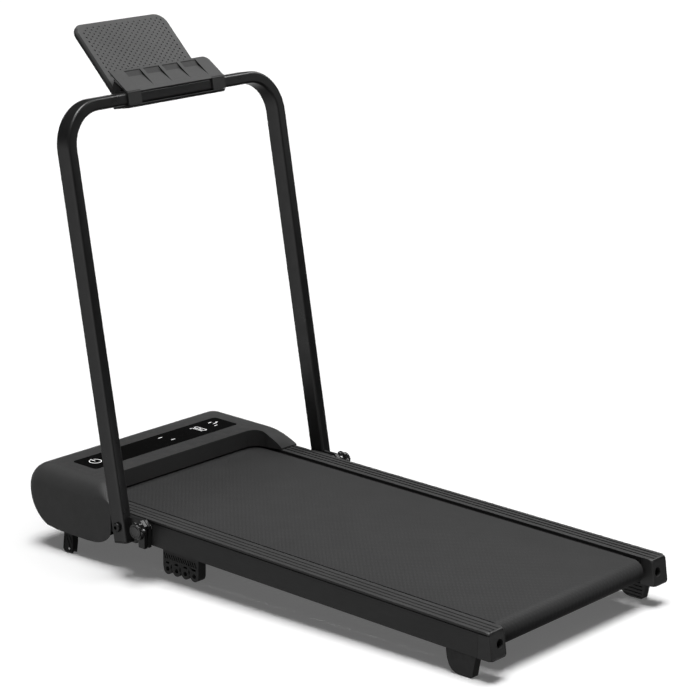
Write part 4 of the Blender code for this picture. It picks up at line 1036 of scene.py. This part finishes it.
# Each soft box: name, place and target in metres, power in watts, width and height.
SOFT_BOXES = (
    ("side_box", (1.1, -0.64, 0.92), (0, 0.43, 0.82), 0.35, (0.8, 0.4)),
    ("low_box", (0.47, -1.34, 0.05), (-0.25, -0.63, 0.07), 0.8, (0.4, 0.12)),
    ("right_box", (1.8, -0.5, 2.3), (0, 0.3, 0.7), 28.0, (1.2, 1.0)),
    ("rear_box", (-0.5, -1.2, 3.2), (0, 0.3, 0.6), 15.0, (1.0, 0.7)),
)


def pale_surface(name, glow):
    look = Look(name, 0.9)
    look.colour(look.noise(0.6, 2.0), grey(0.90), grey(0.92))
    look.gloss(specular=0.0)
    look.shader.inputs["Emission Color"].default_value = (1.0, 1.0, 1.0, 1.0)
    look.shader.inputs["Emission Strength"].default_value = glow
    return look.material


def build_stage():
    """A pale floor with pale walls far off; only the camera sees their light."""
    mesh = bpy.data.meshes.new("floor")
    corners = [(x * FLOOR_REACH, y * FLOOR_REACH) for x, y in ((-1, -1), (1, -1), (1, 1), (-1, 1))]
    walls = [(i, i + 4, (i + 1) % 4 + 4, (i + 1) % 4) for i in range(4)]
    points = [(x, y, z) for z in (0, FLOOR_REACH) for x, y in corners]
    mesh.from_pydata(points, [], [(0, 1, 2, 3)] + walls)
    floor = bpy.data.objects.new("floor", mesh)
    bpy.context.scene.collection.objects.link(floor)
    mesh.materials.append(pale_surface("floor", FLOOR_GLOW))
    mesh.materials.append(pale_surface("studio wall", WALL_GLOW))
    for face in mesh.polygons:
        face.material_index = int(abs(face.normal.z) < 0.5)
    floor.visible_diffuse = False
    floor.visible_glossy = False
    floor.visible_shadow = False
    return floor


def add_light(name, kind, place, target, energy, size):
    data = bpy.data.lights.new(name, kind)
    data.energy = energy
    if kind == "SUN":
        data.angle = math.radians(size)
    else:
        data.shape = "RECTANGLE"
        data.size, data.size_y = size
    lamp = bpy.data.objects.new(name, data)
    bpy.context.scene.collection.objects.link(lamp)
    lamp.location = place
    lamp.rotation_euler = (Vector(target) - Vector(place)).to_track_quat("-Z", "Y").to_euler()
    return lamp


def build_world():
    """A dim world, brighter below the horizon at the left and beyond the object."""
    world = bpy.data.worlds.new("studio")
    bpy.context.scene.world = world
    world.use_nodes = True
    nodes, links = world.node_tree.nodes, world.node_tree.links

    def term(operation, *values):
        made = nodes.new("ShaderNodeMath")
        made.operation = operation
        for socket, value in zip(made.inputs, values):
            if isinstance(value, (int, float)):
                socket.default_value = value
            else:
                links.new(value, socket)
        return made.outputs["Value"]

    def toward(direction, sharpness, strength):
        made = nodes.new("ShaderNodeVectorMath")
        made.operation = "DOT_PRODUCT"
        links.new(place, made.inputs[0])
        made.inputs[1].default_value = Vector(direction).normalized()
        facing = term("MAXIMUM", made.outputs["Value"], 0.0)
        return term("MULTIPLY", term("POWER", facing, sharpness), strength)

    place = nodes.new("ShaderNodeTexCoord").outputs["Generated"]
    parts = nodes.new("ShaderNodeSeparateXYZ")
    links.new(place, parts.inputs["Vector"])
    below = term("LESS_THAN", parts.outputs["Z"], HORIZON)
    left = term("MULTIPLY", toward(*LEFT_GLOW), below)
    beyond = term("MULTIPLY", toward(*BEYOND_GLOW), below)
    total = term("ADD", term("ADD", left, beyond), term("ADD", toward(*TOP_GLOW), WORLD_GLOW))
    links.new(total, nodes["Background"].inputs["Strength"])
    nodes["Background"].inputs["Color"].default_value = (1.0, 1.0, 1.0, 1.0)


def build_lamps(floor):
    """A wide overhead sun, and soft boxes that light the object and leave out the floor."""
    add_light("overhead", "SUN", (0, 0, 3.0), (0, 0, 0), SUN_STRENGTH, SUN_ANGLE)
    object_only = bpy.data.collections.new("not on the floor")
    object_only.objects.link(floor)
    object_only.collection_objects[0].light_linking.link_state = "EXCLUDE"
    for name, place, target, energy, size in SOFT_BOXES:
        box_light = add_light(name, "AREA", place, target, energy, size)
        box_light.light_linking.receiver_collection = object_only


CAMERA_PLACE = (-3.569543, -3.287113, 1.743386)
CAMERA_TURN = (75.21648, 0.98723, -48.11599)
CAMERA_LENS = 129.51


def build_camera():
    data = bpy.data.cameras.new("camera")
    data.sensor_width = 36.0
    data.lens = CAMERA_LENS
    data.clip_end = 100.0
    camera = bpy.data.objects.new("camera", data)
    bpy.context.scene.collection.objects.link(camera)
    camera.location = CAMERA_PLACE
    camera.rotation_euler = [math.radians(angle) for angle in CAMERA_TURN]
    bpy.context.scene.camera = camera


build_camera()
build_world()
build_lamps(build_stage())
build_hood()
build_display()
build_rails()
build_belt()
build_handle()
build_knobs()
build_plate()
build_cover()
build_clips()
build_feet()
build_inside()

scene = bpy.context.scene
scene.view_settings.view_transform = "Standard"
scene.view_settings.look = "None"
